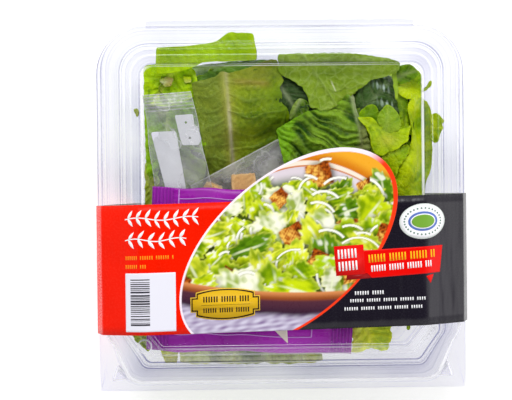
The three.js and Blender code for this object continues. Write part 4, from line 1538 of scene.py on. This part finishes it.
    top = keep_inside(place(np.stack([x, y, height + half], -1)), margin, within)
    i = np.arange(around)
    j = (i + 1) % around
    coarse = np.arange(rings - 1, 0, -2)[::-1] if rings > FINE_RINGS else np.arange(rings)
    kept = np.concatenate([[0], (1 + coarse[:, None] * around + i).ravel()])
    under = np.stack([x, y, height - half], -1)[kept]
    bottom = keep_inside(place(under), margin + LEAF_THICKNESS, within)
    count = len(x)
    fan = np.stack([np.zeros(around, int), 1 + i, 1 + j], -1)
    bands = grid_faces(rings, around, start=1, closed=True, flip=True)
    base = grid_faces(len(coarse), around, start=1, closed=True) + count
    last, low = 1 + (rings - 1) * around, 1 + (len(coarse) - 1) * around + count
    wall = np.stack([last + i, low + i, low + j, last + j], -1)
    faces = [fan, fan[:, ::-1] + count, bands, base, wall]
    build.add(np.concatenate([top, bottom]), faces, np.concatenate([paint, paint[kept]]))


def leaves_alike(build, **shared):
    """A way to make leaves that share some settings."""
    return lambda *leaf_facts, **own: leaf(build, *leaf_facts, **{**shared, **own})


def draped(lift, at_least=0.0, slope=0.0, at_most=99.0):
    """Lays a leaf drawn in the pack's own plan over the heap, `lift` above the CAD heap's top but
    no lower than a plane that rises towards the hinge by `slope`."""

    def place(points):
        x, y, z = points.T
        plane = at_least + slope * (y - 20)
        rest = heap_at(x, y) + lift
        rest = np.minimum(0.5 * (rest + plane + np.sqrt((rest - plane) ** 2 + 4)), at_most)
        return np.stack([x, y, rest + z], -1)

    return place


def lying(level, tilt=0.0, bow=0.0, middle=(0, 0)):
    """Lays a leaf drawn in the pack's own plan at one height, tilted towards the hinge and bowed."""

    def place(points):
        x, y, z = points.T
        dx, dy = x - middle[0], y - middle[1]
        rise = level + tilt * dy - bow * (dx**2 + dy**2) / 100
        return np.stack([x, y, rise + z], -1)

    return place


def centred(place, centre, tilt):
    """Tilts a leaf a little about its own centre before it is laid down."""

    def tilted(points):
        points = points.copy()
        points[:, 2] += (points[:, :2] - centre) @ tilt
        return place(points)

    return tilted


def standing(centre, heading, pitch, roll, curl, cup):
    """Turns a leaf drawn round the origin: curled along its length, cupped across, then placed."""

    def rolled(along, z, bend):
        radius = 1 / bend
        return (radius - z) * np.sin(along * bend), radius - (radius - z) * np.cos(along * bend)

    def place(points):
        x, y, z = points.T
        x, z = rolled(x, z, cup)
        y, z = rolled(y, z, curl)
        z, x = turned(z, x, roll)
        y, z = turned(y, z, pitch)
        x, y = turned(x, y, heading)
        return np.stack([x, y, z], -1) + centre

    return place


def torn_piece(rng, size):
    """A made-up outline of a torn leaf piece round the origin, and the line of its midrib."""
    count = int(rng.integers(8, 12))
    angle = np.linspace(0, 2 * math.pi, count, endpoint=False) + rng.uniform(-0.2, 0.2, count)
    reach = size / 2 * rng.uniform(0.78, 1.15, count)
    corners = np.stack([reach * np.cos(angle) * 0.7, reach * np.sin(angle)], 1)
    spin = rng.uniform(0, 2 * math.pi)
    rib = np.array([[rng.uniform(-0.3, 0.3), -0.7], [rng.uniform(-0.25, 0.25), 0.6]]) * size
    turn = np.array([[math.cos(spin), math.sin(spin)], [-math.sin(spin), math.cos(spin)]])
    return corners @ turn, rib @ turn


def core():
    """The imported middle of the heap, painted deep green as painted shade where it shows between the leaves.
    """
    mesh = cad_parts["salad_heap"].data
    points = mesh_points(mesh) / MM
    normals = np.zeros((len(points), 3))
    corners = [list(p.vertices) for p in mesh.polygons]
    flat = np.array([c for c in corners if len(c) == 3])
    cross = np.cross(points[flat[:, 1]] - points[flat[:, 0]], points[flat[:, 2]] - points[flat[:, 0]])
    for k in range(3):
        np.add.at(normals, flat[:, k], cross)
    normals /= np.maximum(lengths(normals), 1e-9)[:, None]
    x, y, z = points.T
    depth = 6.5 + 1.2 * ripple(x + z * 0.6, y - z * 0.6, 17, 15)
    points = keep_inside(points - normals * depth[:, None], 2.5, True)
    build = Build()
    # painted shade: the deep greens of the heap's shaded inside
    paint = mix(srgb(60, 96, 6), srgb(96, 136, 20), 0.5 + 0.5 * ripple(x, y + z, 19, 12))
    build.add(points, [corners], paint)
    build.piece("heap_core", [lettuce("core_leaf", 0.6, 0.0, 0.0005)], "lettuce", ["salad_heap"])


def top_fill():
    """Torn pieces lying over the heap's top, under the leaves that are drawn one by one."""
    rng = np.random.default_rng(101)
    build = Build()
    torn = leaves_alike(build, crinkle=0.7, bubbles=0.2, folds=0.8, ruffle=0.5, jag=0.5, within=True)
    looks = ["romaine", "mid", "olive", "pale", "dark", "lime"]
    for y in np.arange(-66, 74, 14.5):
        for x in np.arange(-62, 72, 15.5):
            spot = np.array([x + rng.uniform(-5, 5), y + rng.uniform(-5, 5)])
            centre = spot * [0.8 if abs(spot[0]) > 52 else 1, 0.85 if abs(spot[1]) > 55 else 1]
            if heap_at(*spot) < 36:
                continue
            corners, rib = torn_piece(rng, rng.uniform(30, 44))
            look = looks[int(rng.choice(6, p=[0.34, 0.24, 0.14, 0.1, 0.04, 0.14]))]
            tilt = rng.uniform(-0.12, 0.12, 2)
            place = centred(draped(rng.uniform(-5.5, -3.2)), centre, tilt)
            seed, margin = int(rng.integers(1e6)), rng.uniform(0.6, 3.0)
            if abs(spot[0]) < 44 and -52 < spot[1] < -16:
                continue  # wholly under the sleeve
            torn(corners + centre, rib + centre, look, seed, place, (40, 8), margin=margin)
    build.piece("leaves_top_fill", [lettuce("fill_leaf")], "lettuce")


def wall_fill():
    """Torn pieces pressed against the tray's walls, and under the lid's shoulders, all round."""
    rng = np.random.default_rng(202)
    build = Build()
    torn = leaves_alike(build, crinkle=0.7, bubbles=0.2, folds=0.7, ruffle=0.8, jag=0.5, within=True)
    looks = ["romaine", "mid", "olive", "pale", "lime", "heart", "dark"]
    for k in range(120):
        angle = 2 * math.pi * (k + rng.uniform(-0.4, 0.4)) / 40
        z = rng.uniform(*((8, 30), (20, 38), (30, 42))[k % 3])
        direction = np.array([math.cos(angle), math.sin(angle)])
        spot = direction * min((PANEL - 1) / np.abs(direction).max(), 88)
        if direction @ np.array([1, -1]) / math.sqrt(2) > 0.94:
            continue
        corners, rib = torn_piece(rng, rng.uniform(26, 42))
        # the nearest wall's outward direction, not the centre's
        normal = np.where(np.abs(direction) == np.abs(direction).max(), np.sign(direction), 0.25 * direction)
        heading = math.atan2(normal[1], normal[0]) + math.pi / 2 + rng.uniform(-0.2, 0.2)
        foot = [*(spot * rng.uniform(0.93, 0.99)), z]
        pitch, roll = math.radians(rng.uniform(76, 100)), rng.uniform(-0.2, 0.2)
        place = standing(foot, heading, pitch, roll, rng.uniform(-0.01, 0.004), rng.uniform(-0.014, 0.0))
        look = looks[int(rng.choice(7, p=[0.26, 0.18, 0.14, 0.14, 0.15, 0.09, 0.04]))]
        seed, margin = int(rng.integers(1e6)), rng.uniform(0.5, 2.4)
        if abs(spot[0]) > 60 and -46 < spot[1] < -24:
            continue  # wholly behind the sleeve
        torn(corners, rib, look, seed, place, (44, 9), margin=margin)
    build.piece("leaves_wall_fill", [lettuce("wall_leaf")], "lettuce")


# ---- the leaves placed one by one ----


def scaled(*factors):
    return lambda x, y, paint: paint * factors


def broad_tint(x, y, paint):
    """Olive and brown tones, painted shade at the upper right and over the lower part, and the pale crest
    along the broad leaf's midrib.
    """
    left = smooth(-27, -31, x + 0.06 * (y - 60))
    # painted shade: darker at the upper right, where the leaf meets the dark gap
    paint = mix(paint, paint * [0.6, 0.8, 0.4], smooth(-16, 2, x) * smooth(66, 56, y) * 0.85)
    haze = smooth(57, 61, y) * smooth(-27, -22, x) * smooth(-3, -10, x)
    paint = mix(paint, srgb(166, 170, 50), haze * 0.5)
    paint = mix(paint, srgb(156, 134, 62), haze * hump(y - 60.5 + 0.1 * x, 1.6) * 0.5)
    paint = mix(paint, srgb(138, 154, 62), left * 0.5)
    # painted shade: darker over the lower part, where the leaf bows down
    paint = mix(paint, paint * [0.85, 0.88, 0.7], smooth(34, 20, y) * 0.6)
    paint = mix(paint, srgb(178, 176, 74), hump(x + 28.3 - 0.07 * (68 - y), 3.4) * 0.6)
    crest = hump(x + 28.1 - 0.07 * (68 - y), 0.9)
    return mix(paint, srgb(206, 200, 168), crest * (0.35 + 0.45 * smooth(58, 40, y)))


def middle_tint(x, y, paint):
    """A bright left edge, a brown patch and a stem at the right."""
    edge = smooth(5.5, 2.5, x - 0.16 * (y - 24) + 0.8 * ripple(y, y * 0, 3, 9))
    paint = mix(paint, srgb(122, 178, 16), edge * 0.85)
    brown = smooth(36.5, 41, x - 0.12 * (y - 34)) * smooth(47, 42, y)
    paint = mix(paint, srgb(112, 112, 66), brown * 0.75)
    stem = hump(x - 37.6 + 0.28 * (y - 50), 1.3) * smooth(42, 47, y)
    return mix(paint, srgb(176, 186, 146), stem * 0.8)


def glints(x, y, paint):
    """Light caught along the dark leaf's puckers."""
    near = hump(x - 52 + 0.3 * (y - 57), 3.6) * smooth(47, 50, y)
    bright = np.clip(ripple(x * 1.9, y * 0.6 + 0.3 * x, 33, 4.2) - 0.25, 0, 1) * near
    return mix(paint, srgb(186, 208, 196), bright * 0.9)


def curled_tint(x, y, paint):
    return mix(paint, srgb(138, 168, 60), smooth(1.8, 0.4, x - 4.3 - 0.42 * (y - 45)) * 0.8)


def left_tint(x, y, paint):
    return mix(paint, srgb(112, 112, 50), smooth(34, 14, y) * smooth(-58, -46, x) * 0.6) * 1.25


def back_leaves():
    """The broad leaves at the back left, in the middle and behind the picture."""
    build = Build()
    broad = leaves_alike(build, bubbles=0.2, folds=0.5, ruffle=0.3, jag=0.2, spacing=6.0)
    broad(
        [(-45.5, 62.3), (-39.2, 63.8), (-33.4, 65), (-30.2, 67.8), (-25.8, 67), (-20.7, 68.3),
         (-13.1, 70.8), (-7.4, 73.3), (-1.7, 73.5), (-1.5, 67.5), (1.6, 63), (-1.4, 58.8), (0.6, 55.8),
         (-0.2, 52), (3.4, 48.6), (2.2, 45), (2.4, 41.7), (-3.4, 38.6), (-1, 31.6), (-8.6, 26), (-24, 14),
         (-38, 14), (-39.1, 20.6), (-39.6, 30.1), (-42, 39.5), (-44.3, 53.4)],
        ((-29.5, 72), (-25, 10)), "olive", 301, draped(-0.8, 46.5, 0.27), (224, 50), crinkle=0.75,
        bubbles=0.3, spacing=8.5, lean=0.35, cell=3.2, streaks=0.5, veining=0.12, netting=0.06,
        rib_width=1.3, rib_rise=1.0, rib_show=0.3, rounding=1.2, back=True, tint=broad_tint, contrast=1.25,
    )
    broad(
        [(-3.1, 38.6), (4.2, 42.3), (13.2, 47.6), (19.5, 47.8), (29, 51.5), (33.5, 56.5), (36.2, 56),
         (38.6, 45.1), (42.2, 38.8), (44.3, 31.2), (45.2, 24.9), (33, 17.5), (7.6, 9.5), (2.6, 13.9),
         (0.8, 21.5), (-1, 29.7)],
        ((35, 62), (42, 20)), "mid", 302, draped(0.3, 57.4), (216, 48), crinkle=1.5, bubbles=0.25,
        folds=0.7, spacing=7.5, lean=-0.45, cell=3.6, streaks=0.95, veining=0.25, netting=0.04,
        rib_width=1.0, rib_rise=0.7, rib_show=0.5, rounding=1.2, tint=middle_tint, contrast=1.3,
    )
    broad(
        [(35.9, 56.3), (41.3, 59.9), (46.8, 63.8), (51.2, 66), (56.5, 66), (57.3, 59.7), (58.3, 53.2),
         (60.3, 43.5), (53.8, 44), (47.3, 44), (39.4, 44), (37.6, 50.9)],
        ((38, 46), (60, 66)), "dark", 303, draped(-1.5), (150, 34), spacing=5.5, streaks=0.8, tint=glints,
        rib_show=0.15, veining=0.2,
    )
    # a leaf painted dark as painted shade, for the dark gap between the broad leaves
    broad(
        [(-5, 70), (2, 68), (11.4, 61.8), (16, 50), (14, 44), (4.2, 38), (0, 42), (-2.2, 50), (-3.4, 60)],
        ((-6, 66), (12, 42)), "dark", 305, centred(draped(-1.95), np.array([6, 52]), np.array([0.11, 0.0])),
        (120, 28), streaks=1.0, contrast=1.1, tint=lambda x, y, paint: mix(paint, srgb(40, 62, 32), 0.45),
    )
    broad(
        [(8.5, 54.2), (12, 53.6), (14.5, 50.4), (13.5, 47.2), (8.1, 44.1), (4.6, 42.6), (3.8, 45.4),
         (5, 49.2)],
        ((10, 56), (3, 43)), "mid", 306, draped(-0.7), (70, 14), crinkle=0.5, bubbles=0.1, folds=0.3,
        ruffle=0.2, jag=0.15, spacing=4.0, tint=curled_tint,
    )
    lively = {"crinkle": 0.9, "bubbles": 0.4, "folds": 0.7, "ruffle": 0.4, "contrast": 1.3}
    broad(
        [(-70, 72), (-58, 73), (-44, 70), (-42, 62), (-44, 55), (-58, 50), (-70, 52)],
        ((-52, 74), (-66, 50)), "bright", 304, draped(-0.6, 52.0), (130, 28), tint=scaled(1.58, 1.42, 0.74),
        **lively,
    )
    broad(
        [(-70, 56), (-58, 56), (-44, 58), (-39, 40), (-38, 22), (-42, 4), (-56, -2), (-69, 2)],
        ((-60, 58), (-54, 0)), "romaine", 308, draped(-1.8, 48.0), (130, 28), jag=0.3, tint=left_tint,
        **lively,
    )
    # a strip painted dark as painted shade, for the shade under the lid's rear ridge
    broad(
        [(-50, 72), (-30, 73), (-14, 74), (-6, 74), (-10, 69), (-24, 66), (-36, 64), (-46, 63)],
        ((-52, 70), (-8, 72)), "mid", 307, draped(-1.6), (90, 12), folds=0.4, jag=0.3,
        tint=scaled(0.5, 0.66, 0.2),
    )
    build.piece("leaves_broad", [lettuce("broad_leaf", 0.34, 0.06)], "lettuce")


def torn_tint(x, y, paint):
    """A pale slit in the leaf lying wrong side up, and a lighter edge towards the hinge."""
    slit = hump((x - 26) + 0.45 * (y - 60), 0.35) * smooth(56.5, 58, y) * smooth(63, 61, y)
    return mix(paint, srgb(224, 232, 190), slit * 0.8) * (1 + 0.45 * smooth(71, 74, y)[..., None])


def tan_tint(x, y, paint):
    return mix(paint, srgb(204, 180, 104), smooth(-61, -56, x) * 0.8)


def light_leaves():
    """The flap under the lid's rear shoulder, the pale leaf lying wrong side up, and two scraps."""
    build = Build()
    pale = leaves_alike(
        build, crinkle=0.4, bubbles=0.1, folds=0.3, ruffle=0.2, jag=0.2, spacing=4.0, rounding=1.0,
    )
    pale(
        [(-63.3, 80.4), (-48.4, 80.9), (-41.5, 81.8), (-35.8, 82.5), (-32, 83.6), (-29.4, 85.7),
         (-27.5, 87.2), (-24.9, 88.3), (-22.5, 87.5), (-18.6, 87.6), (-13.9, 87.2), (-12.9, 81.5),
         (-12.3, 75.8), (-12, 73.6), (-20, 73.2), (-39, 72.8), (-46, 69.5), (-54, 67.5), (-63.5, 67)],
        ((-66, 60), (-10, 64)), "bright", 311, lying(57.4, -0.05, 0.02, (-40, 76)), (200, 32), crinkle=0.35,
        jag=0.15, spacing=5.0, lean=0.1, cell=6.0, streaks=0.5, veining=0.2, netting=0.02, rib_rise=0.1,
        rib_show=0.0, rounding=1.2, margin=0.5, contrast=0.8, tint=scaled(1.6, 1.42, 0.5),
    )
    pale(
        [(-1.7, 76), (8.5, 76.7), (18, 76.4), (27.5, 76.9), (36.9, 76.1), (46.4, 75), (54, 73.7), (60, 72),
         (59.9, 67.6), (52.6, 64.2), (45, 62.7), (39.9, 58.4), (33.5, 54), (29, 50.3), (23.9, 48.1),
         (19.5, 46.9), (17.9, 48.8), (14.5, 49.1), (13.2, 54.2), (10.5, 59.2), (5.1, 63.1), (0.7, 65),
         (-1.8, 67.9)],
        ((8, 80), (34, 40)), "under", 312, draped(0.6, 60.4, 0.005, 61.8), (220, 44), crinkle=0.5,
        bubbles=0.35, folds=0.35, ruffle=0.3, jag=0.3, spacing=9.0, lean=0.5, cell=4.6, streaks=0.25,
        veining=0.3, netting=0.34, rib_width=0.8, rib_rise=0.3, rib_show=0.15, rounding=1.2, back=True,
        margin=0.5, tint=torn_tint, contrast=0.8,
    )
    pale(
        [(-62, 64), (-59, 66), (-54.5, 65), (-56, 61), (-59, 60.5)],
        ((-63, 62), (-55, 64)), "heart", 313, draped(1.0, 54.0), (60, 10), tint=tan_tint,
    )
    pale(
        [(-50, 66), (-45.5, 65.5), (-45.5, 62.5), (-49, 62)],
        ((-50, 63), (-45, 64)), "yellow", 314, draped(1.0, 54.0), (50, 8),
    )
    build.piece("leaves_light", [lettuce("light_leaf", 0.42, 0.18)], "lettuce")


def frill_tint(x, y, paint):
    return mix(paint, srgb(188, 196, 70), hump(x - 53, 5) * hump(y - 32, 3.5) * 0.6) * [1.25, 1.12, 1]


def curly_leaves():
    """The yellow-green frilled leaves down the right side."""
    build = Build()
    lobe = leaves_alike(
        build, crinkle=0.45, bubbles=0.12, jag=0.25, streaks=0.35, veining=0.12, netting=0.04, rib_show=0.1,
        rib_rise=0.2,
    )
    lobe(
        [(46, 26), (58, 30), (72, 26), (74, 8), (68, -6), (48, -6)],
        ((50, -6), (70, 24)), "lime", 328, draped(-3.0, 49.0), (120, 20), folds=0.9, ruffle=0.5,
        streaks=0.8, contrast=1.2,
    )
    lobe(
        [(59, 56.1), (64, 54), (67, 44), (70, 36), (59.9, 34), (56.9, 43.5), (56.5, 50.7)],
        ((60, 56), (64, 36)), "lime", 329, draped(-2.0, 49.0), (110, 20), folds=0.9, ruffle=0.3,
        contrast=1.2,
    )
    lobe(
        [(58, 58), (61, 62), (64.2, 64.6), (66.7, 67.6), (70, 68.5), (72.5, 66), (72.5, 54), (64.8, 52.6),
         (60.4, 54.5)],
        ((60, 56), (72, 66)), "yellow", 330, draped(-0.6, 52.0), (110, 20), folds=0.9, ruffle=0.5,
        contrast=1.2,
    )
    lobe(
        [(63.3, 48.5), (64.7, 51.4), (68.4, 55.7), (71.3, 56), (73.1, 53.1), (76, 51.3), (77.6, 46.2),
         (77.8, 21.7), (77.4, 17.8), (75.1, 13.8), (73.6, 11), (73.2, 0), (56, 0), (57.5, 14.7),
         (60.8, 21.9), (63.7, 26.2), (65.6, 32.6), (66, 39.8), (64.6, 43.5)],
        ((66, 0), (69, 56)), "yellow", 321, draped(0.0, 51.0), (240, 34), folds=1.3, ruffle=0.5,
        spacing=8.0, streaks=0.7, contrast=1.5, rounding=1.8,
    )
    lobe(
        [(50, 25), (54, 28.5), (57.2, 28), (63, 30.2), (64.5, 29.1), (63.7, 26.2), (62.6, 23.3), (60, 20.8),
         (58.5, 16), (56, 11), (50, 16)],
        ((50, 24), (64, 28)), "yellow", 334, draped(1.0, 52.0), (110, 18), folds=0.8, ruffle=0.4,
        contrast=1.1, rounding=1.8,
    )
    lobe(
        [(39, 45.1), (40.5, 48), (43, 49.8), (45.9, 50.8), (47.7, 49.4), (49.1, 47.2), (49.4, 42),
         (49.4, 38), (44, 38), (40, 41)],
        ((40, 40), (47, 50)), "bright", 322, draped(0.0, 58.0), (90, 16), folds=0.5, ruffle=0.2,
        contrast=1.2,
    )
    lobe(
        [(48.2, 43.6), (49.5, 46.5), (51.3, 49.3), (53.5, 50.4), (55.7, 48.9), (58.2, 46), (59.8, 43.1),
         (59.9, 37), (50.1, 35), (49.1, 40.4)],
        ((52, 36), (54, 50)), "pale", 323, draped(1.0, 59.0), (90, 16), folds=0.5, ruffle=0.15,
        contrast=1.1,
    )
    lobe(
        [(37.5, 44.4), (40.1, 43.7), (43, 44), (45.8, 43.8), (47.6, 41.8), (49.8, 38.9), (52.3, 38.7),
         (56.6, 39), (59.9, 38.5), (63.1, 39.2), (65.9, 39.8), (64.2, 37), (63.4, 33.4), (63.1, 31.6),
         (59.4, 28.7), (56.5, 27), (52.9, 25.7), (50, 24), (46, 26), (44.6, 30), (44.3, 34.6), (42.5, 39),
         (39.7, 41.9)],
        ((40, 42), (60, 32)), "lime", 324, draped(1.8, 59.6), (170, 26), folds=0.7, ruffle=0.3,
        contrast=1.2, rounding=1.2, tint=frill_tint,
    )
    lobe(
        [(56.1, 67.5), (58.2, 67), (59.3, 60.4), (58.8, 52.6), (57.4, 52.6), (57, 57.9)],
        ((57, 67), (58, 53)), "heart", 335, draped(0.6, 58.0), (60, 6), folds=0.2, rounding=1.0,
        tint=lambda x, y, paint: mix(paint, srgb(150, 196, 30), 0.65),
    )
    lobe(
        [(72, 58), (74.6, 60.3), (75.4, 62.3), (77, 62.4), (76.6, 59.9), (75.3, 58.5), (73.5, 57.1),
         (71, 56)],
        ((70, 56), (77, 63)), "yellow", 325, lying(56.2), (70, 8), folds=0.3, ruffle=0.4, rounding=0.8,
    )
    lobe(
        [(76.5, 45.5), (79.9, 46.2), (81.7, 44.4), (83.8, 41.8), (82.5, 40.3), (83, 37.9), (81.5, 35),
         (80.8, 31.8), (78.6, 30.7), (76.4, 33)],
        ((75, 36), (83, 41)), "yellow", 326, lying(52.0), (90, 14), folds=0.5, ruffle=0.5, contrast=1.4,
        rounding=1.0,
    )
    lobe(
        [(58, 66), (61, 71), (66, 71), (71, 66), (66, 62), (59, 60)],
        ((58, 64), (70, 68)), "romaine", 327, draped(-0.8, 57.0), (80, 14), crinkle=0.8, veining=0.4,
        rib_show=0.5, folds=0.5, contrast=1.4,
    )
    build.piece("leaves_curly", [lettuce("curly_leaf", 0.34, 0.24)], "lettuce")


def curl_painted_light(x, y, paint):
    # painted light: brightened and washed with a pale yellow, more towards the left, so that it looks lit
    # where the sleeve shades it
    return mix(paint * [1.4, 1.25, 1], srgb(240, 242, 150), 0.25 + 0.4 * smooth(42, 36, x))


def tip_tint(x, y, paint):
    # painted light: brightened where the pack shades the leaf, and paler towards its front tip
    return mix(paint * [1.5, 1.3, 1], srgb(222, 226, 150), smooth(-75.4, -77, y) * 0.7)


def pressed_tint(x, y, paint):
    """The soft greens of leaves pressed against the front wall, from left to right, washed pale and
    brightened as painted light for the milky veil the front wall lays over them.
    """
    # painted light: a pale wash for the front wall's milky veil
    paint = mix(paint, srgb(214, 216, 204), 0.55)
    for middle, reach, tone in (
        (-35, 3.0, (138, 156, 90)),
        (-16.5, 5.5, (96, 124, 40)),
        (0, 7.0, (166, 186, 80)),
        (15.5, 4.0, (186, 200, 50)),
    ):
        paint = mix(paint, srgb(*tone), 0.9 * hump(x - middle, reach, 4))
    # painted light: paler still towards the front, and brightened
    return mix(paint, srgb(222, 224, 206), 0.45 * smooth(-77.5, -80, y)) * 1.3


def front_leaves():
    """The scraps that show in front of the sleeve and at the left edge, and the leaves behind the
    front wall."""
    build = Build()
    scrap = leaves_alike(
        build, crinkle=0.7, bubbles=0.2, folds=0.6, ruffle=0.4, jag=0.3, spacing=5.0, rounding=1.2,
        rib_show=0.4,
    )
    scrap(
        [(35, -58), (55, -58), (54.8, -66), (54, -73.4), (49.5, -74.6), (44, -73.4), (38.5, -75.4),
         (34.4, -75), (34.6, -66)],
        ((40, -58), (46, -76)), "yellow", 331, lying(59.0), (130, 24), folds=0.9, ruffle=0.6, jag=0.6,
        contrast=1.3, tint=curl_painted_light,
    )
    for corners, rib, look, seed, level, size, tint in (
        ([(62.4, -58), (65.2, -58), (64.8, -64.8), (63, -64.8)],
         ((64, -58), (64, -66)), "yellow", 336, 55.0, (50, 8), None),
        ([(-80, -58), (-66, -58), (-66, -70), (-69, -74), (-75.5, -68)],
         ((-76, -60), (-70, -76)), "yellow", 332, 58.0, (80, 14), scaled(1.0, 1.0, 0.5)),
        ([(-64, -66), (-54.6, -66), (-54.2, -73), (-54.6, -80.6), (-61, -80.8), (-63, -74)],
         ((-62, -66), (-56, -82)), "yellow", 333, 50.0, (80, 14), tip_tint),
        ([(-70, 22), (-65.5, 24), (-62, 12), (-64, -2), (-70, -2)],
         ((-68, 20), (-66, -2)), "heart", 335, 52.0, (80, 14), None),
        ([(-75.7, 49.4), (-73.4, 50.6), (-72.4, 47.4), (-73.9, 45.4)],
         ((-75, 52), (-72, 44)), "heart", 337, 48.0, (50, 8), None),
    ):
        scrap(corners, rib, look, seed, lying(level), size, tint=tint)
    # the leaves that show as a soft row behind the front wall
    for k, (left, right) in enumerate(((-53.4, -33), (-37, -8), (-12, 20))):
        corners = [(left, -64), (right, -64), (right, -81), (right - 6, -82), (left + 6, -82), (left, -80.8)]
        rib = ((left, -66), (right, -80))
        scrap(corners, rib, "pale", 340 + k, lying(46.0 + 0.8 * k), (150, 20), ruffle=0.3, tint=pressed_tint)
    build.piece("leaves_front", [lettuce("front_leaf", 0.36, 0.4)], "lettuce")


# ---- stage, lights and camera ----

FLOOR_HALF = 3.0
CAMERA_TURN = (-0.79, -1.35, -0.61)  # in degrees, from straight down
LENS_MM = 95.57
SENSOR_MM = 36
SHEETS_SEEN_THROUGH = 40  # clear faces that one line of sight may pass


def link(data, name):
    thing = bpy.data.objects.new(name, data)
    bpy.context.scene.collection.objects.link(thing)
    return thing


def stage():
    mesh = bpy.data.meshes.new("stage_floor")
    corners = [(x * FLOOR_HALF, y * FLOOR_HALF, 0) for x, y in ((-1, -1), (1, -1), (1, 1), (-1, 1))]
    mesh.from_pydata(corners, [], [(0, 1, 2, 3)])
    floor = link(mesh, "stage_floor")
    n = Nodes("stage_paper")
    tone = n.blend(n.noise(3.0, 2.0), (0.93, 0.93, 0.93), (0.95, 0.95, 0.95))
    glow = {"Emission_Color": (1, 1, 1), "Emission_Strength": 0.35}
    mesh.materials.append(n.surface(n.shader("Principled", Base_Color=tone, Roughness=0.9, **glow)))


def soft_light(name, place, aim, width, height, power):
    lamp = bpy.data.lights.new(name, "AREA")
    lamp.shape = "RECTANGLE"
    lamp.size, lamp.size_y, lamp.energy = width, height, power
    light = link(lamp, name)
    light.location = place
    away = Vector(place) - Vector(aim)
    light.rotation_euler = away.to_track_quat("Z", "Y").to_euler()


def studio():
    """Even light from all round, dark straight above so that the lid stays clear, and two soft boxes."""
    scene = bpy.context.scene
    world = bpy.data.worlds.new("studio")
    world.use_nodes = True
    nodes, links = world.node_tree.nodes, world.node_tree.links

    def add(kind, source, **inputs):
        node = nodes.new("ShaderNode" + kind)
        for name, value in inputs.items():
            node.inputs[name.replace("_", " ")].default_value = value
        links.new(source, node.inputs[0])
        return node

    split = add("SeparateXYZ", nodes.new("ShaderNodeTexCoord").outputs["Generated"])
    ceiling = add("MapRange", split.outputs["Z"], From_Min=0.7, From_Max=0.93, To_Min=1.0, To_Max=0.05)
    ceiling.interpolation_type = "SMOOTHSTEP"
    side = add("MapRange", split.outputs["X"], From_Min=-1.0, From_Max=1.0, To_Min=0.75, To_Max=1.25)
    both = add("Math", ceiling.outputs[0])
    both.operation = "MULTIPLY"
    links.new(side.outputs[0], both.inputs[1])
    links.new(both.outputs[0], nodes["Background"].inputs["Strength"])
    nodes["Background"].inputs["Color"].default_value = (1, 1, 1, 1)
    scene.world = world
    soft_light("key", (-0.2, 0.85, 0.95), (0, 0, 0.03), 0.9, 0.5, 9.0)
    soft_light("right_box", (1.1, -0.1, 0.6), (0, 0, 0.04), 0.6, 0.6, 1.6)
    camera = link(bpy.data.cameras.new("camera"), "camera")
    camera.data.lens = LENS_MM
    camera.data.sensor_width = SENSOR_MM
    camera.location = EYE * MM
    camera.rotation_euler = [math.radians(angle) for angle in CAMERA_TURN]
    scene.camera = camera
    scene.view_settings.view_transform = "Standard"
    if hasattr(scene, "cycles"):
        scene.cycles.transparent_max_bounces = SHEETS_SEEN_THROUGH
        scene.cycles.max_bounces = 10


tray()
lid()
sleeve()
print_left()
print_right()
print_label()
picture()
dressing_sachet()
fork_sachet()
crouton_pouch()
core()
top_fill()
wall_fill()
back_leaves()
light_leaves()
curly_leaves()
front_leaves()
stage()
studio()
